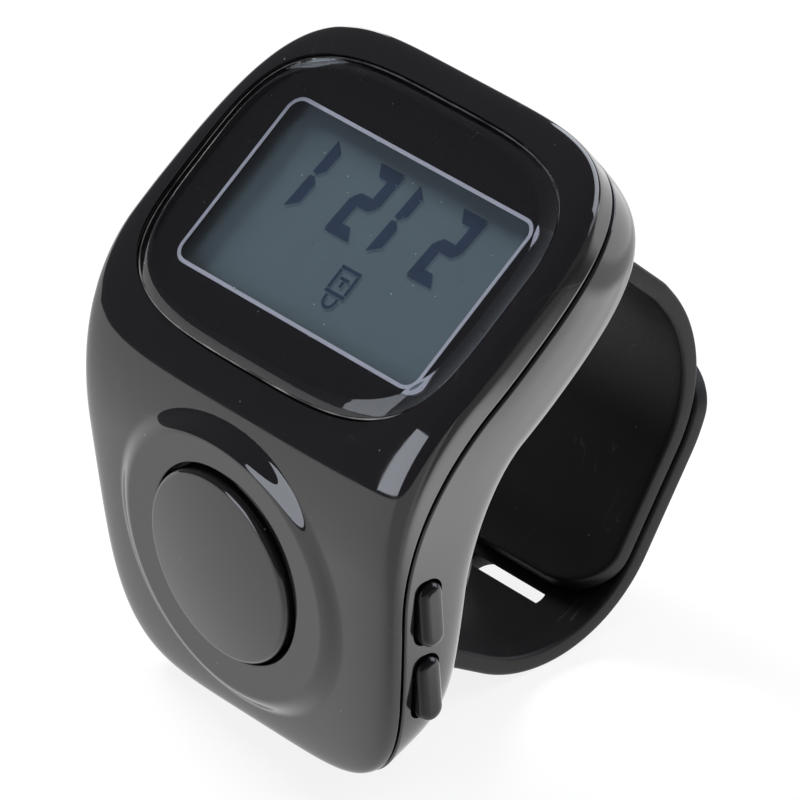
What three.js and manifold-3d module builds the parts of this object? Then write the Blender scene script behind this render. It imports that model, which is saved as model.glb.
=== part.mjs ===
// Digital tally counter worn on a finger: a bent two-part case with a display, a big front
// button, two side buttons and two rubber straps that overlap in a ring.
// Units are millimetres. The case is drawn with its display level: x runs across it, y towards
// its rear and z up, with z = 0 near the printed border of the display. The front pieces are
// drawn in a frame of their own, with z out of the front face at the big button. At the end the
// whole object is tipped to stand on its front end and its straps, as it does on a table.

import * as THREE from 'three';
import { mergeVertices } from 'three/addons/utils/BufferGeometryUtils.js';
import Module from 'manifold-3d';

const wasm = await Module();
wasm.setup();

// Case form: three lines in the y-z plane (top, parting and bottom), each level from the rear,
// then bent down to the front end.
const caseHalfWidth = 15.7;
const frontNarrowing = 1.8;
const frontHalfWidth = caseHalfWidth - frontNarrowing;
const narrowFrom = 14;
const narrowTo = 38;
const rearEnd = 12.3;
const frontSlope = THREE.MathUtils.degToRad(56.3);
const bottomSlope = THREE.MathUtils.degToRad(48.5);
const topLevel = 1.3;
const topCorner = -12.3;
const topBend = 13;
const partingLevel = -1.4;
const partingCorner = -12.2;
const partingBend = 15;
const partingFront = 21.6;
const bottomLevel = -9;
const bottomCorner = -8.3;
const bottomBend = 10;
const bottomFront = 15;
const outlinePower = 5;
const topPowerRear = 8.4;
const topPowerFront = 4;
const bottomPowerRear = 3.7;
const bottomPowerFront = 5.9;
const sideWall = 1.5;
const bottomWall = 1.4;

// Clearances
const partingGap = 0.2;
const gap = 0.3;
const fineGap = 0.15;

// Display stack
const lensSide = 1.9;
const lensHalfWidth = caseHalfWidth - lensSide;
const lensHalfLength = 10;
const lensPower = 3.6;
const lensRise = 0.05;
const lensThickness = 1.6;
const lensBevel = 0.45;
const lensBevelRun = 0.9;
const maskThickness = 0.15;
const bayDepth = 0.1;
const windowSide = 2.7;
const windowWidth = 2 * (lensHalfWidth - windowSide);
const windowLength = 12.2;
const windowCorner = 0.9;
const windowMargin = 0.25;
const glassMargin = 0.4;
const glassThickness = 0.6;
const glassSplit = 0.15;
const contactLedge = 1.4;
const frameWall = 0.4;
const zebraWidth = 0.9;
const boardDrop = 0.4;
const boardThickness = 0.7;
const boardSide = 1.8;
const boardHalfWidth = lensHalfWidth - boardSide;
const boardFrontY = -9.2;
const boardRearY = 8.2;
const boardCorner = 1.5;

// Big button and its switch
const buttonDistance = 11.75;
const moundRise = 0.45;
const moundRadius = 10.2;
const buttonHoleRadius = 6.55;
const buttonSideGap = 0.25;
const buttonFlange = 0.8;
const buttonFlangeThickness = 0.6;
const buttonProud = 0.6;
const buttonCrown = 0.4;
const buttonEdge = 0.35;
const buttonTravel = 0.6;
const domeRadius = 3.1;
const domeHeight = 1.1;
const buttonBoardHalf = 3.4;
const buttonBoardThickness = 0.7;
const ribbonWidth = 6;
const ribbonThickness = 0.2;

// Side buttons and their switches
const sideButtonDepth = 3.9;
const sideButtonPlaces = [1.45, -4.1];
const sideHoleLength = 4.8;
const sideHoleWidth = 2.1;
const sideButtonGap = 0.2;
const sideButtonProud = 0.75;
const sideButtonTravel = 0.5;
const sideFlange = 0.45;
const sideFlangeEnd = 0.15;
const sideFlangeThickness = 0.6;
const switchThickness = 0.9;
const switchLength = 3.4;
const switchWidth = 2.2;
const plungerLength = 0.4;
const plungerRadius = 0.6;
const sideBoardThickness = 0.4;

// Cell and its cover
const cellRadius = 5.8;
const cellThickness = 3.05;
const cellRing = 0.7;
const leafWidth = 2;
const doorOverlap = 0.5;
const doorThickness = 1.1;
const leafThickness = 0.15;
const leafFoot = 2;
const coinSlotLength = 6;
const coinSlotWidth = 1.2;
const coinSlotDepth = 0.5;
const doorTabRadius = 1.6;
const doorTabReach = 8.2;
const doorPostHeight = 2.4;
const doorScrewReach = 1.4;
const doorBoreReach = 1.6;

// Straps
const strapWidth = 14.4;
const strapThickness = 1.25;
const strapChamfer = 0.25;
const strapGap = 0.15;
const strapRoomLength = 8;
const beadRadius = 0.95;
const beadInset = 0.1;
const pinRadius = 0.45;
const lugWidth = 0.8;
const lugWall = 0.75;
const rearAnchorY = 8.5;
const rearAnchorZ = -6.2;
const frontAnchorDistance = 4.9;
const frontAnchorDepth = -5.6;
const loopFrontY = -10.05;
const loopFrontZ = -32.9;
const loopRearY = 11.5;
const loopRearZ = -24.9;
const loopShoulderY = 11.6;
const loopShoulderZ = -16.5;
const loopFrontRadius = 9.2;
const loopRearRadius = 10.5;
const loopShoulderRadius = 5;
const tongueCorner = 4.3;
const tipCorner = 3.2;
const tongueY = -6.5;
const tipY = 9.2;
const slotLength = 6.4;
const slotWidth = 2.2;
const slotPitch = 5.2;
const slotCount = 3;
const firstSlotY = -7.6;
const pegSlot = 1;
const pegLength = 5.4;
const pegNeck = 1.2;
const pegHeadLength = 5.8;
const pegHeadWidth = 2.8;
const pegHeadThickness = 0.9;

// Case screws
const bossRadius = 1.15;
const screwRadius = 0.5;
const screwHeadRadius = 0.95;
const screwHeadThickness = 0.7;
const bossWall = 0.7;
const bossLength = 1.3;
const screwSeat = 2.3;
const seatCap = 0.4;
const rearScrewSide = 5.9;
const rearScrewX = caseHalfWidth - rearScrewSide;
const rearScrewY = 8.45;
const frontScrewSide = 5.2;
const frontScrewX = frontHalfWidth - frontScrewSide;
const frontScrewDistance = 7.3;

// Small parts on the board
const blobRadius = 1.9;
const blobHeight = 0.9;
const blobPlace = [9.6, -5];
const capacitorSize = [2, 1.2, 0.9];
const capacitorPlace = [-9.8, -5.5];
const resistorSize = [1.6, 0.8, 0.5];
const resistorPlace = [-9.8, 3.5];

// Facets
const ringSteps = 16;
const endRows = 6;
const roundSteps = 36;
const smallSteps = 16;
const shortestEdge = 0.01;

// Materials: each call gives a piece its own
const finish = (name, color, roughness, metalness = 0) => () =>
  new THREE.MeshStandardMaterial({ name, color, roughness, metalness });
const blackGloss = finish('black_gloss', 0x0b0a0b, 0.12);
const buttonGloss = finish('button_gloss', 0x121112, 0.16);
const blackRubber = finish('black_rubber', 0x171617, 0.6);
const darkPrint = finish('dark_print', 0x0d0d0f, 0.4);
const greyGlass = finish('display_glass', 0x75858c, 0.2);
const whitePlastic = finish('white_plastic', 0xd8d8d2, 0.5);
const pinkRubber = finish('conductive_rubber', 0xc98f8a, 0.7);
const amberFilm = finish('flex_film', 0xb8722a, 0.5);
const boardGreen = finish('board_green', 0x1e5b34, 0.5);
const epoxyBlack = finish('epoxy_black', 0x101010, 0.45);
const ceramicTan = finish('ceramic_tan', 0xb89b72, 0.5);
const springSteel = finish('spring_steel', 0xb9bcc0, 0.3, 1);
const clearLens = () => new THREE.MeshStandardMaterial({
  name: 'lens_clear', color: 0x2a2f33, roughness: 0.06, transparent: true, opacity: 0.35,
});

// A line in the y-z plane that is level from the rear, bends down and runs straight to its end.
// Its stations run 0 to 1 along the level, 1 to 2 round the bend and 2 to 3 along the front.
function bentLine({ rear, level, corner, slope, radius, front }) {
  const tangent = radius * Math.tan(slope / 2);
  const bendStart = corner + tangent;
  const lengths = [rear - bendStart, radius * slope, front - tangent];
  const bendPoint = (angle) => new THREE.Vector2(
    bendStart - radius * Math.sin(angle),
    level - radius * (1 - Math.cos(angle)),
  );
  const bendEnd = bendPoint(slope);
  const direction = new THREE.Vector2(-Math.cos(slope), -Math.sin(slope));
  const point = (station) => {
    if (station <= 1) return new THREE.Vector2(rear - lengths[0] * station, level);
    if (station <= 2) return bendPoint(slope * (station - 1));
    return bendEnd.clone().addScaledVector(direction, (station - 2) * lengths[2]);
  };
  const station = (distance) => {
    if (distance <= lengths[0]) return distance / lengths[0];
    if (distance <= lengths[0] + lengths[1]) return 1 + (distance - lengths[0]) / lengths[1];
    return 2 + (distance - lengths[0] - lengths[1]) / lengths[2];
  };
  return { point, station, lengths, total: lengths[0] + lengths[1] + lengths[2], direction };
}

const frontDirection = new THREE.Vector2(-Math.cos(frontSlope), -Math.sin(frontSlope));
const cornerDrop = new THREE.Vector2(partingCorner - topCorner, partingLevel - topLevel);
const topLine = bentLine({
  rear: rearEnd, level: topLevel, corner: topCorner, slope: frontSlope, radius: topBend,
  front: partingFront + cornerDrop.dot(frontDirection),
});
const partingLine = bentLine({
  rear: rearEnd, level: partingLevel, corner: partingCorner, slope: frontSlope,
  radius: partingBend, front: partingFront,
});
const lowerPartingLine = bentLine({
  rear: rearEnd, level: partingLevel - partingGap,
  corner: partingCorner + partingGap * Math.tan(frontSlope / 2), slope: frontSlope,
  radius: partingBend - partingGap, front: partingFront,
});
const bottomLine = bentLine({
  rear: rearEnd, level: bottomLevel, corner: bottomCorner, slope: bottomSlope,
  radius: bottomBend, front: bottomFront,
});
const innerBottomLine = bentLine({
  rear: rearEnd, level: bottomLevel + bottomWall,
  corner: bottomCorner - bottomWall * Math.tan(bottomSlope / 2), slope: bottomSlope,
  radius: bottomBend + bottomWall, front: bottomFront,
});

// The front frame: x across, y up the front face, z out of it at the big button's hole.
const frontNormal = new THREE.Vector2(-Math.sin(frontSlope), Math.cos(frontSlope));
const buttonFoot = new THREE.Vector2(topCorner, topLevel)
  .addScaledVector(frontDirection, buttonDistance);
const buttonCentre = buttonFoot.clone().addScaledVector(frontNormal, moundRise);
const frontMatrix = new THREE.Matrix4()
  .makeRotationX(frontSlope)
  .setPosition(0, buttonCentre.x, buttonCentre.y);

// A point of the y-z plane as the front frame sees it: height up the face and depth out of it.
function inFront(point) {
  const offset = point.clone().sub(buttonCentre);
  return new THREE.Vector2(-offset.dot(frontDirection), offset.dot(frontNormal));
}

function fromFront(height, depth) {
  return buttonCentre.clone()
    .addScaledVector(frontDirection, -height)
    .addScaledVector(frontNormal, depth);
}

const partingDepth = inFront(new THREE.Vector2(partingCorner, partingLevel)).y;

const smooth = (value) => THREE.MathUtils.smoothstep(value, 0, 1);

function halfWidthAt(distance) {
  const share = smooth((distance - narrowFrom) / (narrowTo - narrowFrom));
  return THREE.MathUtils.lerp(caseHalfWidth, frontHalfWidth, share);
}

// Rounded end rows lie close together, and the rows between them follow the bend.
function skinRows(line) {
  const ends = [];
  for (let i = 1; i <= endRows; i += 1) {
    ends.push(Math.cos((Math.PI / 2) * (i / (endRows + 2))) ** (2 / outlinePower));
  }
  const inner = ends[ends.length - 1];
  const rows = ends.map((end) => -end);
  const [levelLength, bendLength, frontLength] = line.lengths;
  const stations = [];
  for (let i = 1; i < 5; i += 1) stations.push(levelLength * (i / 5));
  for (let i = 0; i <= 8; i += 1) stations.push(levelLength + bendLength * (i / 8));
  for (let i = 1; i < 4; i += 1) stations.push(levelLength + bendLength + frontLength * (i / 4));
  const spacing = 0.03;
  for (const distance of stations) {
    const row = (2 * distance) / line.total - 1;
    if (Math.abs(row) < inner - spacing) rows.push(row);
  }
  return [...rows, ...ends.reverse()];
}

// How far a place is between the middle line (0) and the top or bottom line (1).
function fullness(across, along, power) {
  const reach = (Math.abs(across) ** outlinePower + Math.abs(along) ** outlinePower)
    ** (1 / outlinePower);
  return Math.max(0, 1 - reach ** power) ** (1 / power);
}

const powerAt = (rear, front, station) => THREE.MathUtils.lerp(rear, front, smooth(station - 1));

// A closed pillow between three lines: middle to top above, middle to bottom below.
function pillow({ top, middle, bottom, inset, topPowers, bottomPowers, steps }) {
  const half = middle.total / 2;
  const rows = skinRows(middle);
  const ring = 2 * steps;
  const positions = [];
  const place = (distance) => middle.point(middle.station(distance));
  const addPoint = (x, point) => positions.push(x, point.x, point.y);
  addPoint(0, place(inset));
  for (const row of rows) {
    const distance = half + row * (half - inset);
    const station = middle.station(distance);
    const width = halfWidthAt(distance) - inset;
    const rim = (1 - Math.abs(row) ** outlinePower) ** (1 / outlinePower);
    const centre = middle.point(station);
    for (let i = 0; i < ring; i += 1) {
      const angle = (2 * Math.PI * i) / ring;
      const powers = i <= steps ? topPowers : bottomPowers;
      const power = powerAt(...powers, station);
      const cosine = i % steps === 0 ? Math.sign(steps - 2 * i + 1) : Math.cos(angle);
      const across = rim * Math.sign(cosine) * Math.abs(cosine) ** (2 / power);
      const target = (i <= steps ? top : bottom).point(station);
      const share = i % steps === 0 ? 0 : fullness(across, row, power);
      addPoint(width * across, centre.clone().lerp(target, share));
    }
  }
  addPoint(0, place(middle.total - inset));
  const index = [];
  const last = 1 + rows.length * ring;
  for (let i = 0; i < ring; i += 1) {
    const next = (i + 1) % ring;
    index.push(0, 1 + next, 1 + i);
    for (let row = 0; row < rows.length - 1; row += 1) {
      const a = 1 + row * ring;
      const b = a + ring;
      index.push(a + i, a + next, b + next, a + i, b + next, b + i);
    }
    index.push(last, last - ring + i, last - ring + next);
  }
  return indexed(positions, index);
}

function indexed(positions, index) {
  const geometry = new THREE.BufferGeometry();
  geometry.setAttribute('position', new THREE.Float32BufferAttribute(positions, 3));
  geometry.setIndex(index);
  return geometry;
}

// Booleans: a closed geometry becomes a solid, and a solid becomes a flat-shaded geometry.
function solid(geometry) {
  const bare = geometry.clone();
  bare.deleteAttribute('normal');
  bare.deleteAttribute('uv');
  const welded = mergeVertices(bare, 1e-4);
  const mesh = new wasm.Mesh({
    numProp: 3,
    vertProperties: new Float32Array(welded.attributes.position.array),
    triVerts: new Uint32Array(welded.index.array),
  });
  mesh.merge();
  return new wasm.Manifold(mesh);
}

function surface(body) {
  const mesh = body.asOriginal().simplify(shortestEdge).getMesh();
  return indexed(Array.from(mesh.vertProperties), Array.from(mesh.triVerts));
}

const joined = (first, ...others) => others.reduce((sum, other) => sum.add(other), first);
const cut = (first, ...others) => others.reduce((rest, other) => rest.subtract(other), first);

// Outlines and simple solids
function outline(points) {
  return new THREE.Shape(points.map(([x, y]) => new THREE.Vector2(x, y)));
}

function roundedRectangle(halfX, halfY, corner) {
  const shape = new THREE.Shape();
  shape.absarc(halfX - corner, halfY - corner, corner, 0, Math.PI / 2);
  shape.absarc(corner - halfX, halfY - corner, corner, Math.PI / 2, Math.PI);
  shape.absarc(corner - halfX, corner - halfY, corner, Math.PI, 1.5 * Math.PI);
  shape.absarc(halfX - corner, corner - halfY, corner, 1.5 * Math.PI, 2 * Math.PI);
  shape.closePath();
  return shape;
}

function squirclePoints(halfX, halfY, steps = 64) {
  const points = [];
  for (let i = 0; i < steps; i += 1) {
    const angle = (2 * Math.PI * (i + 0.5)) / steps;
    const x = Math.sign(Math.cos(angle)) * Math.abs(Math.cos(angle)) ** (2 / lensPower);
    const y = Math.sign(Math.sin(angle)) * Math.abs(Math.sin(angle)) ** (2 / lensPower);
    points.push([halfX * x, halfY * y]);
  }
  return points;
}

function plate(shape, low, high, steps = 6) {
  const options = { depth: high - low, bevelEnabled: false, curveSegments: steps };
  return new THREE.ExtrudeGeometry(shape, options).translate(0, 0, low);
}

// A y-z outline drawn out along x, the same way to both sides.
function acrossX(shape, halfWidth) {
  const axes = new THREE.Matrix4().makeBasis(
    new THREE.Vector3(0, 1, 0),
    new THREE.Vector3(0, 0, 1),
    new THREE.Vector3(1, 0, 0),
  );
  return plate(shape, -halfWidth, halfWidth).applyMatrix4(axes);
}

function block(lowX, highX, lowY, highY, lowZ, highZ) {
  return new THREE.BoxGeometry(highX - lowX, highY - lowY, highZ - lowZ)
    .translate((lowX + highX) / 2, (lowY + highY) / 2, (lowZ + highZ) / 2);
}

// A turned piece about z, from a list of radius and height pairs.
function turned(profile, steps = roundSteps) {
  const points = profile.map(([radius, height]) => new THREE.Vector2(radius, height));
  return new THREE.LatheGeometry(points, steps, Math.PI / steps).rotateX(Math.PI / 2);
}

const disc = (radius, low, high, steps = roundSteps) =>
  turned([[0, low], [radius, low], [radius, high], [0, high]], steps);

const rodAcross = (radius, halfLength, steps = smallSteps) =>
  disc(radius, -halfLength, halfLength, steps).rotateY(Math.PI / 2);

// A stadium outline: long along y, with round ends.
function stadium(length, width) {
  const shape = new THREE.Shape();
  const radius = width / 2;
  const reach = (length - width) / 2;
  shape.absarc(0, reach, radius, 0, Math.PI);
  shape.absarc(0, -reach, radius, Math.PI, 2 * Math.PI);
  shape.closePath();
  return shape;
}

// Levels of the display stack, from the top down
const lensTop = topLevel + lensRise;
const lensBottom = lensTop - lensThickness;
const maskTop = lensBottom - fineGap;
const maskBottom = maskTop - maskThickness;
const ledgeTop = maskBottom - fineGap;
const ledgeBottom = partingLevel + bayDepth;
const glassTop = ledgeBottom - fineGap;
const rearGlassTop = glassTop - glassThickness - glassSplit;
const rearGlassBottom = rearGlassTop - glassThickness;
const boardTop = rearGlassBottom - boardDrop;
const boardBottom = boardTop - boardThickness;
const glassHalfWidth = windowWidth / 2 + glassMargin;
const glassHalfLength = windowLength / 2 + glassMargin;
const frameInnerX = glassHalfWidth + fineGap;
const frameInnerY = glassHalfLength + fineGap;
const frameOuterX = frameInnerX + frameWall;
const frameOuterY = frameInnerY + frameWall;

// Levels of the cell, from its cover up
const doorTop = bottomLevel + doorThickness;
const cellBottom = doorTop + fineGap;
const cellTop = cellBottom + cellThickness;
const cellBore = cellRadius + gap;
const doorRadius = cellBore + doorOverlap;
const ringRadius = doorRadius + fineGap + cellRing;

// Depths below the front face, in the front frame
const capRadius = buttonHoleRadius - buttonSideGap;
const flangeRadius = capRadius + buttonFlange;
const flangeTop = partingDepth - gap;
const flangeBottom = flangeTop - buttonFlangeThickness;
const domeTop = flangeBottom - buttonTravel - gap;
const domeBottom = domeTop - domeHeight;
const buttonBoardTop = domeBottom - fineGap;
const buttonBoardBottom = buttonBoardTop - buttonBoardThickness;

// Case shells: each starts as half a pillow that is flat on its parting side.
const bottomPowers = [bottomPowerRear, bottomPowerFront];
const upperCase = solid(pillow({
  top: topLine, middle: partingLine, bottom: partingLine, inset: 0,
  topPowers: [topPowerRear, topPowerFront], bottomPowers, steps: ringSteps,
}));
const lowerCase = solid(pillow({
  top: lowerPartingLine, middle: lowerPartingLine, bottom: bottomLine, inset: 0,
  topPowers: bottomPowers, bottomPowers, steps: ringSteps,
}));

function cavity() {
  const raise = 3;
  const lid = {
    ...partingLine,
    point: (station) => {
      const base = partingLine.point(station);
      return new THREE.Vector2(base.x - raise / 2, base.y + raise);
    },
  };
  return solid(pillow({
    top: lid, middle: partingLine, bottom: innerBottomLine, inset: sideWall, steps: 10,
    topPowers: [topPowerRear, topPowerRear],
    bottomPowers: [bottomPowerRear, bottomPowerFront],
  }));
}

const atFront = (geometry) => solid(geometry).transform(frontMatrix.toArray());

// Part of the bottom shell's wall that its inner features reach into.
const rootDepth = 0.6;
const rootLine = bentLine({
  rear: rearEnd, level: bottomLevel + rootDepth,
  corner: bottomCorner - rootDepth * Math.tan(bottomSlope / 2), slope: bottomSlope,
  radius: bottomBend + rootDepth, front: bottomFront,
});
const roots = solid(pillow({
  top: topLine, middle: partingLine, bottom: rootLine, inset: rootDepth, steps: 10,
  topPowers: [topPowerRear, topPowerFront], bottomPowers: [bottomPowerRear, bottomPowerFront],
}));

// Case screws: places across and up their frames, with the frame's own matrix.
const still = new THREE.Matrix4();
const screws = [
  { x: -rearScrewX, y: rearScrewY, parting: partingLevel, matrix: still },
  { x: rearScrewX, y: rearScrewY, parting: partingLevel, matrix: still },
  { x: -frontScrewX, y: -frontScrewDistance, parting: partingDepth, matrix: frontMatrix },
  { x: frontScrewX, y: -frontScrewDistance, parting: partingDepth, matrix: frontMatrix },
];
const farBelow = 12;

function atScrew({ x, y, parting, matrix }, radius, low, high) {
  return solid(disc(radius, parting + low, parting + high, smallSteps).translate(x, y, 0))
    .transform(matrix.toArray());
}

function moundProfile() {
  const base = partingDepth + 0.1;
  const shoulder = buttonHoleRadius + 0.6;
  const steps = 6;
  const profile = [[0, base], [moundRadius + moundRise, base]];
  for (let i = steps; i >= 0; i -= 1) {
    const share = i / steps;
    const drop = moundRise * share * share * (3 - 2 * share);
    profile.push([THREE.MathUtils.lerp(shoulder, moundRadius, share), -drop]);
  }
  return [...profile, [0, 0]];
}

function topShell() {
  const pocket = plate(outline(squirclePoints(
    lensHalfWidth + fineGap,
    lensHalfLength + fineGap,
  )), ledgeTop, topLevel + lensThickness);
  const sight = plate(roundedRectangle(
    windowWidth / 2 + windowMargin,
    windowLength / 2 + windowMargin,
    windowCorner,
  ), partingLevel - lensThickness, topLevel);
  const bay = block(
    -frameOuterX - gap, frameOuterX + gap, -frameOuterY - gap, frameOuterY + gap,
    boardBottom, ledgeBottom,
  );
  const bosses = screws.map((place) => atScrew(place, bossRadius, -bossLength, fineGap));
  const screwHoles = screws.map((place) => atScrew(
    place, screwRadius + fineGap, -farBelow, screwRadius,
  ));
  const buttonHole = atFront(disc(buttonHoleRadius, partingDepth - 1, buttonProud + 1));
  const flangeRoom = atFront(disc(flangeRadius + gap, -farBelow, partingDepth + bayDepth));
  const shell = joined(upperCase, atFront(turned(moundProfile(), 48)), ...bosses);
  return cut(
    shell, solid(pocket), solid(sight), solid(bay), buttonHole, flangeRoom, ...screwHoles,
  );
}

// A path of straights and arcs through rounded corners in the y-z plane. At a distance along
// it, the path gives its point, its direction and the normal to the left of its direction.
function roundedPath(corners) {
  const pieces = [];
  let start = corners[0].point;
  for (let i = 1; i < corners.length - 1; i += 1) {
    const { point, radius } = corners[i];
    const into = point.clone().sub(start).normalize();
    const out = corners[i + 1].point.clone().sub(point).normalize();
    const turn = Math.atan2(into.cross(out), into.dot(out));
    const tangent = radius * Math.tan(Math.abs(turn) / 2);
    const from = point.clone().addScaledVector(into, -tangent);
    pieces.push({ start, direction: into, length: from.distanceTo(start), bend: 0 });
    pieces.push({
      start: from, direction: into, length: radius * Math.abs(turn),
      bend: Math.sign(turn) / radius,
    });
    start = point.clone().addScaledVector(out, tangent);
  }
  const last = corners[corners.length - 1].point;
  pieces.push({
    start, direction: last.clone().sub(start).normalize(), length: last.distanceTo(start),
    bend: 0,
  });
  const total = pieces.reduce((sum, piece) => sum + piece.length, 0);
  return { pieces, total };
}

const leftOf = (direction) => new THREE.Vector2(-direction.y, direction.x);

function placeOn(path, distance) {
  let rest = distance;
  let piece = path.pieces[0];
  for (const next of path.pieces) {
    piece = next;
    if (rest <= next.length) break;
    if (next !== path.pieces[path.pieces.length - 1]) rest -= next.length;
  }
  const { start, direction, bend } = piece;
  if (bend === 0) {
    return {
      point: start.clone().addScaledVector(direction, rest), direction,
      normal: leftOf(direction),
    };
  }
  const centre = start.clone().addScaledVector(leftOf(direction), 1 / bend);
  const point = start.clone().rotateAround(centre, rest * bend);
  const heading = direction.clone().rotateAround(new THREE.Vector2(), rest * bend);
  return { point, direction: heading, normal: leftOf(heading) };
}

// Distance along a path at which it first reaches a y.
function reaching(path, y) {
  let low = 0;
  let high = path.total;
  const steps = 400;
  for (let i = 1; i <= steps; i += 1) {
    if (placeOn(path, (path.total * i) / steps).point.x >= y) {
      low = (path.total * (i - 1)) / steps;
      high = (path.total * i) / steps;
      break;
    }
  }
  for (let i = 0; i < 30; i += 1) {
    const middle = (low + high) / 2;
    if (placeOn(path, middle).point.x >= y) high = middle;
    else low = middle;
  }
  return high;
}

// Distances between two stations of a path: the joins of its pieces and steps round its arcs.
function stations(path, from, to, arcStep = 0.14) {
  const marks = [from];
  let passed = 0;
  for (const piece of path.pieces) {
    const turn = piece.length * Math.abs(piece.bend);
    const steps = Math.max(1, Math.ceil(turn / arcStep));
    for (let i = 0; i < steps; i += 1) marks.push(passed + (piece.length * i) / steps);
    passed += piece.length;
  }
  const least = 0.2;
  const kept = marks.filter((mark) => mark > from + least && mark < to - least);
  return [from, ...kept, to];
}

// A flat ribbon along a path, moved left of it by an offset, with chamfered edges.
function ribbon(path, distances, { offset, thickness, chamfer, halfWidth }) {
  const half = thickness / 2;
  const positions = [];
  for (const distance of distances) {
    const { point, normal } = placeOn(path, distance);
    const width = halfWidth(distance);
    const section = [
      [width, chamfer - half], [width, half - chamfer], [width - chamfer, half],
      [chamfer - width, half], [-width, half - chamfer], [-width, chamfer - half],
      [chamfer - width, -half], [width - chamfer, -half],
    ];
    for (const [x, lift] of section) {
      const place = point.clone().addScaledVector(normal, offset + lift);
      positions.push(x, place.x, place.y);
    }
  }
  const index = [];
  const ring = 8;
  const rows = distances.length;
  for (let row = 0; row < rows - 1; row += 1) {
    for (let i = 0; i < ring; i += 1) {
      const a = row * ring + i;
      const b = row * ring + ((i + 1) % ring);
      index.push(a, b + ring, b, a, a + ring, b + ring);
    }
  }
  const end = (rows - 1) * ring;
  for (let i = 1; i < ring - 1; i += 1) {
    index.push(0, i, i + 1, end, end + i + 1, end + i);
  }
  return indexed(positions, index);
}

// The ring of the straps: the outer strap comes from the front of the case and the inner one
// from its rear, one strap thickness and a clearance further in.
const strapPitch = strapThickness + strapGap;
const frontAnchor = fromFront(-frontAnchorDistance, frontAnchorDepth);
const loop = roundedPath([
  { point: frontAnchor },
  { point: new THREE.Vector2(loopFrontY, loopFrontZ), radius: loopFrontRadius },
  { point: new THREE.Vector2(loopRearY, loopRearZ), radius: loopRearRadius },
  { point: new THREE.Vector2(loopShoulderY, loopShoulderZ), radius: loopShoulderRadius },
  { point: new THREE.Vector2(rearAnchorY + strapPitch, rearAnchorZ) },
]);
const loopEnd = placeOn(loop, loop.total);
const rearAnchor = loopEnd.point.clone().addScaledVector(loopEnd.normal, strapPitch);
const tipDistance = reaching(loop, tipY);
const tongueDistance = reaching(loop, tongueY);
const slotDistances = [];
for (let i = 0; i < slotCount; i += 1) {
  slotDistances.push(reaching(loop, firstSlotY) + slotPitch * i);
}

// Half the width of a strap end with rounded corners, at a distance from the end.
function roundedEnd(toEnd, corner) {
  const short = Math.max(0, corner - toEnd);
  const half = strapWidth / 2;
  return half - corner + Math.sqrt(Math.max(0, corner * corner - short * short));
}

function endDistances(corner) {
  const distances = [];
  for (let i = 1; i <= 6; i += 1) distances.push(corner * (1 - Math.cos((Math.PI * i) / 12)));
  return distances;
}

// The frame of a place on the loop: x across, y along the strap and z towards the finger.
function loopMatrix(distance) {
  const { point, direction, normal } = placeOn(loop, distance);
  return new THREE.Matrix4().makeBasis(
    new THREE.Vector3(1, 0, 0),
    new THREE.Vector3(0, direction.x, direction.y),
    new THREE.Vector3(0, normal.x, normal.y),
  ).setPosition(0, point.x, point.y);
}

function slotBlock(length, width, low, high, distance) {
  const upright = solid(plate(stadium(length, width), low, high).rotateZ(Math.PI / 2));
  return upright.transform(loopMatrix(distance).toArray());
}

const across = (radius, halfLength, anchor) =>
  solid(rodAcross(radius, halfLength).translate(0, anchor.x, anchor.y));

const beadHalf = strapWidth / 2 - beadInset;
const strapSection = { thickness: strapThickness, chamfer: strapChamfer };

function frontStrap() {
  const ends = endDistances(tipCorner);
  const plain = stations(loop, 0, tipDistance - tipCorner);
  const rounded = ends.slice(0, -1).reverse().map((toEnd) => tipDistance - toEnd);
  const band = solid(ribbon(loop, [...plain, ...rounded, tipDistance], {
    ...strapSection, offset: 0,
    halfWidth: (distance) => roundedEnd(tipDistance - distance, tipCorner),
  }));
  const slots = slotDistances.map((distance) => slotBlock(
    slotLength, slotWidth, -strapThickness, strapThickness, distance,
  ));
  const bore = across(pinRadius + fineGap, strapWidth, frontAnchor);
  return cut(joined(band, across(beadRadius, beadHalf, frontAnchor)), bore, ...slots);
}

function rearStrap() {
  const rounded = endDistances(tongueCorner).slice(0, -1).map((end) => tongueDistance + end);
  const plain = stations(loop, tongueDistance + tongueCorner, loop.total);
  const band = solid(ribbon(loop, [tongueDistance, ...rounded, ...plain], {
    ...strapSection, offset: strapPitch,
    halfWidth: (distance) => roundedEnd(distance - tongueDistance, tongueCorner),
  }));
  const outside = -strapThickness / 2 - gap;
  const place = slotDistances[pegSlot];
  const neck = slotBlock(pegLength, pegNeck, outside - gap, strapPitch, place);
  const head = slotBlock(
    pegHeadLength, pegHeadWidth, outside - pegHeadThickness, outside, place,
  );
  const bore = across(pinRadius + fineGap, strapWidth, rearAnchor);
  const bead = across(beadRadius, beadHalf, rearAnchor);
  return cut(joined(band, bead, neck, head), bore);
}

// Room for a strap and its bead in the wall of the case.
function strapRoom(anchor, from, to, offset) {
  const path = solid(ribbon(loop, stations(loop, from, to), {
    offset, thickness: strapThickness + 2 * gap, chamfer: 0.1,
    halfWidth: () => strapWidth / 2 + gap,
  }));
  return joined(path, across(beadRadius + gap, beadHalf + gap, anchor));
}

const anchors = [
  { point: frontAnchor, tilt: frontSlope },
  { point: rearAnchor, tilt: 0 },
];

// Two lugs that hold a strap pin, rooted in the bottom wall.
function lugs({ point, tilt }) {
  const outer = strapWidth / 2 + gap + lugWidth;
  const width = lugWidth + gap;
  const reach = pinRadius + fineGap + lugWall;
  return [-1, 1].map((side) => {
    const low = side > 0 ? outer - width : -outer;
    return solid(block(low, low + width, -reach, reach, -farBelow / 2, reach)
      .rotateX(tilt).translate(0, point.x, point.y));
  });
}

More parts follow.
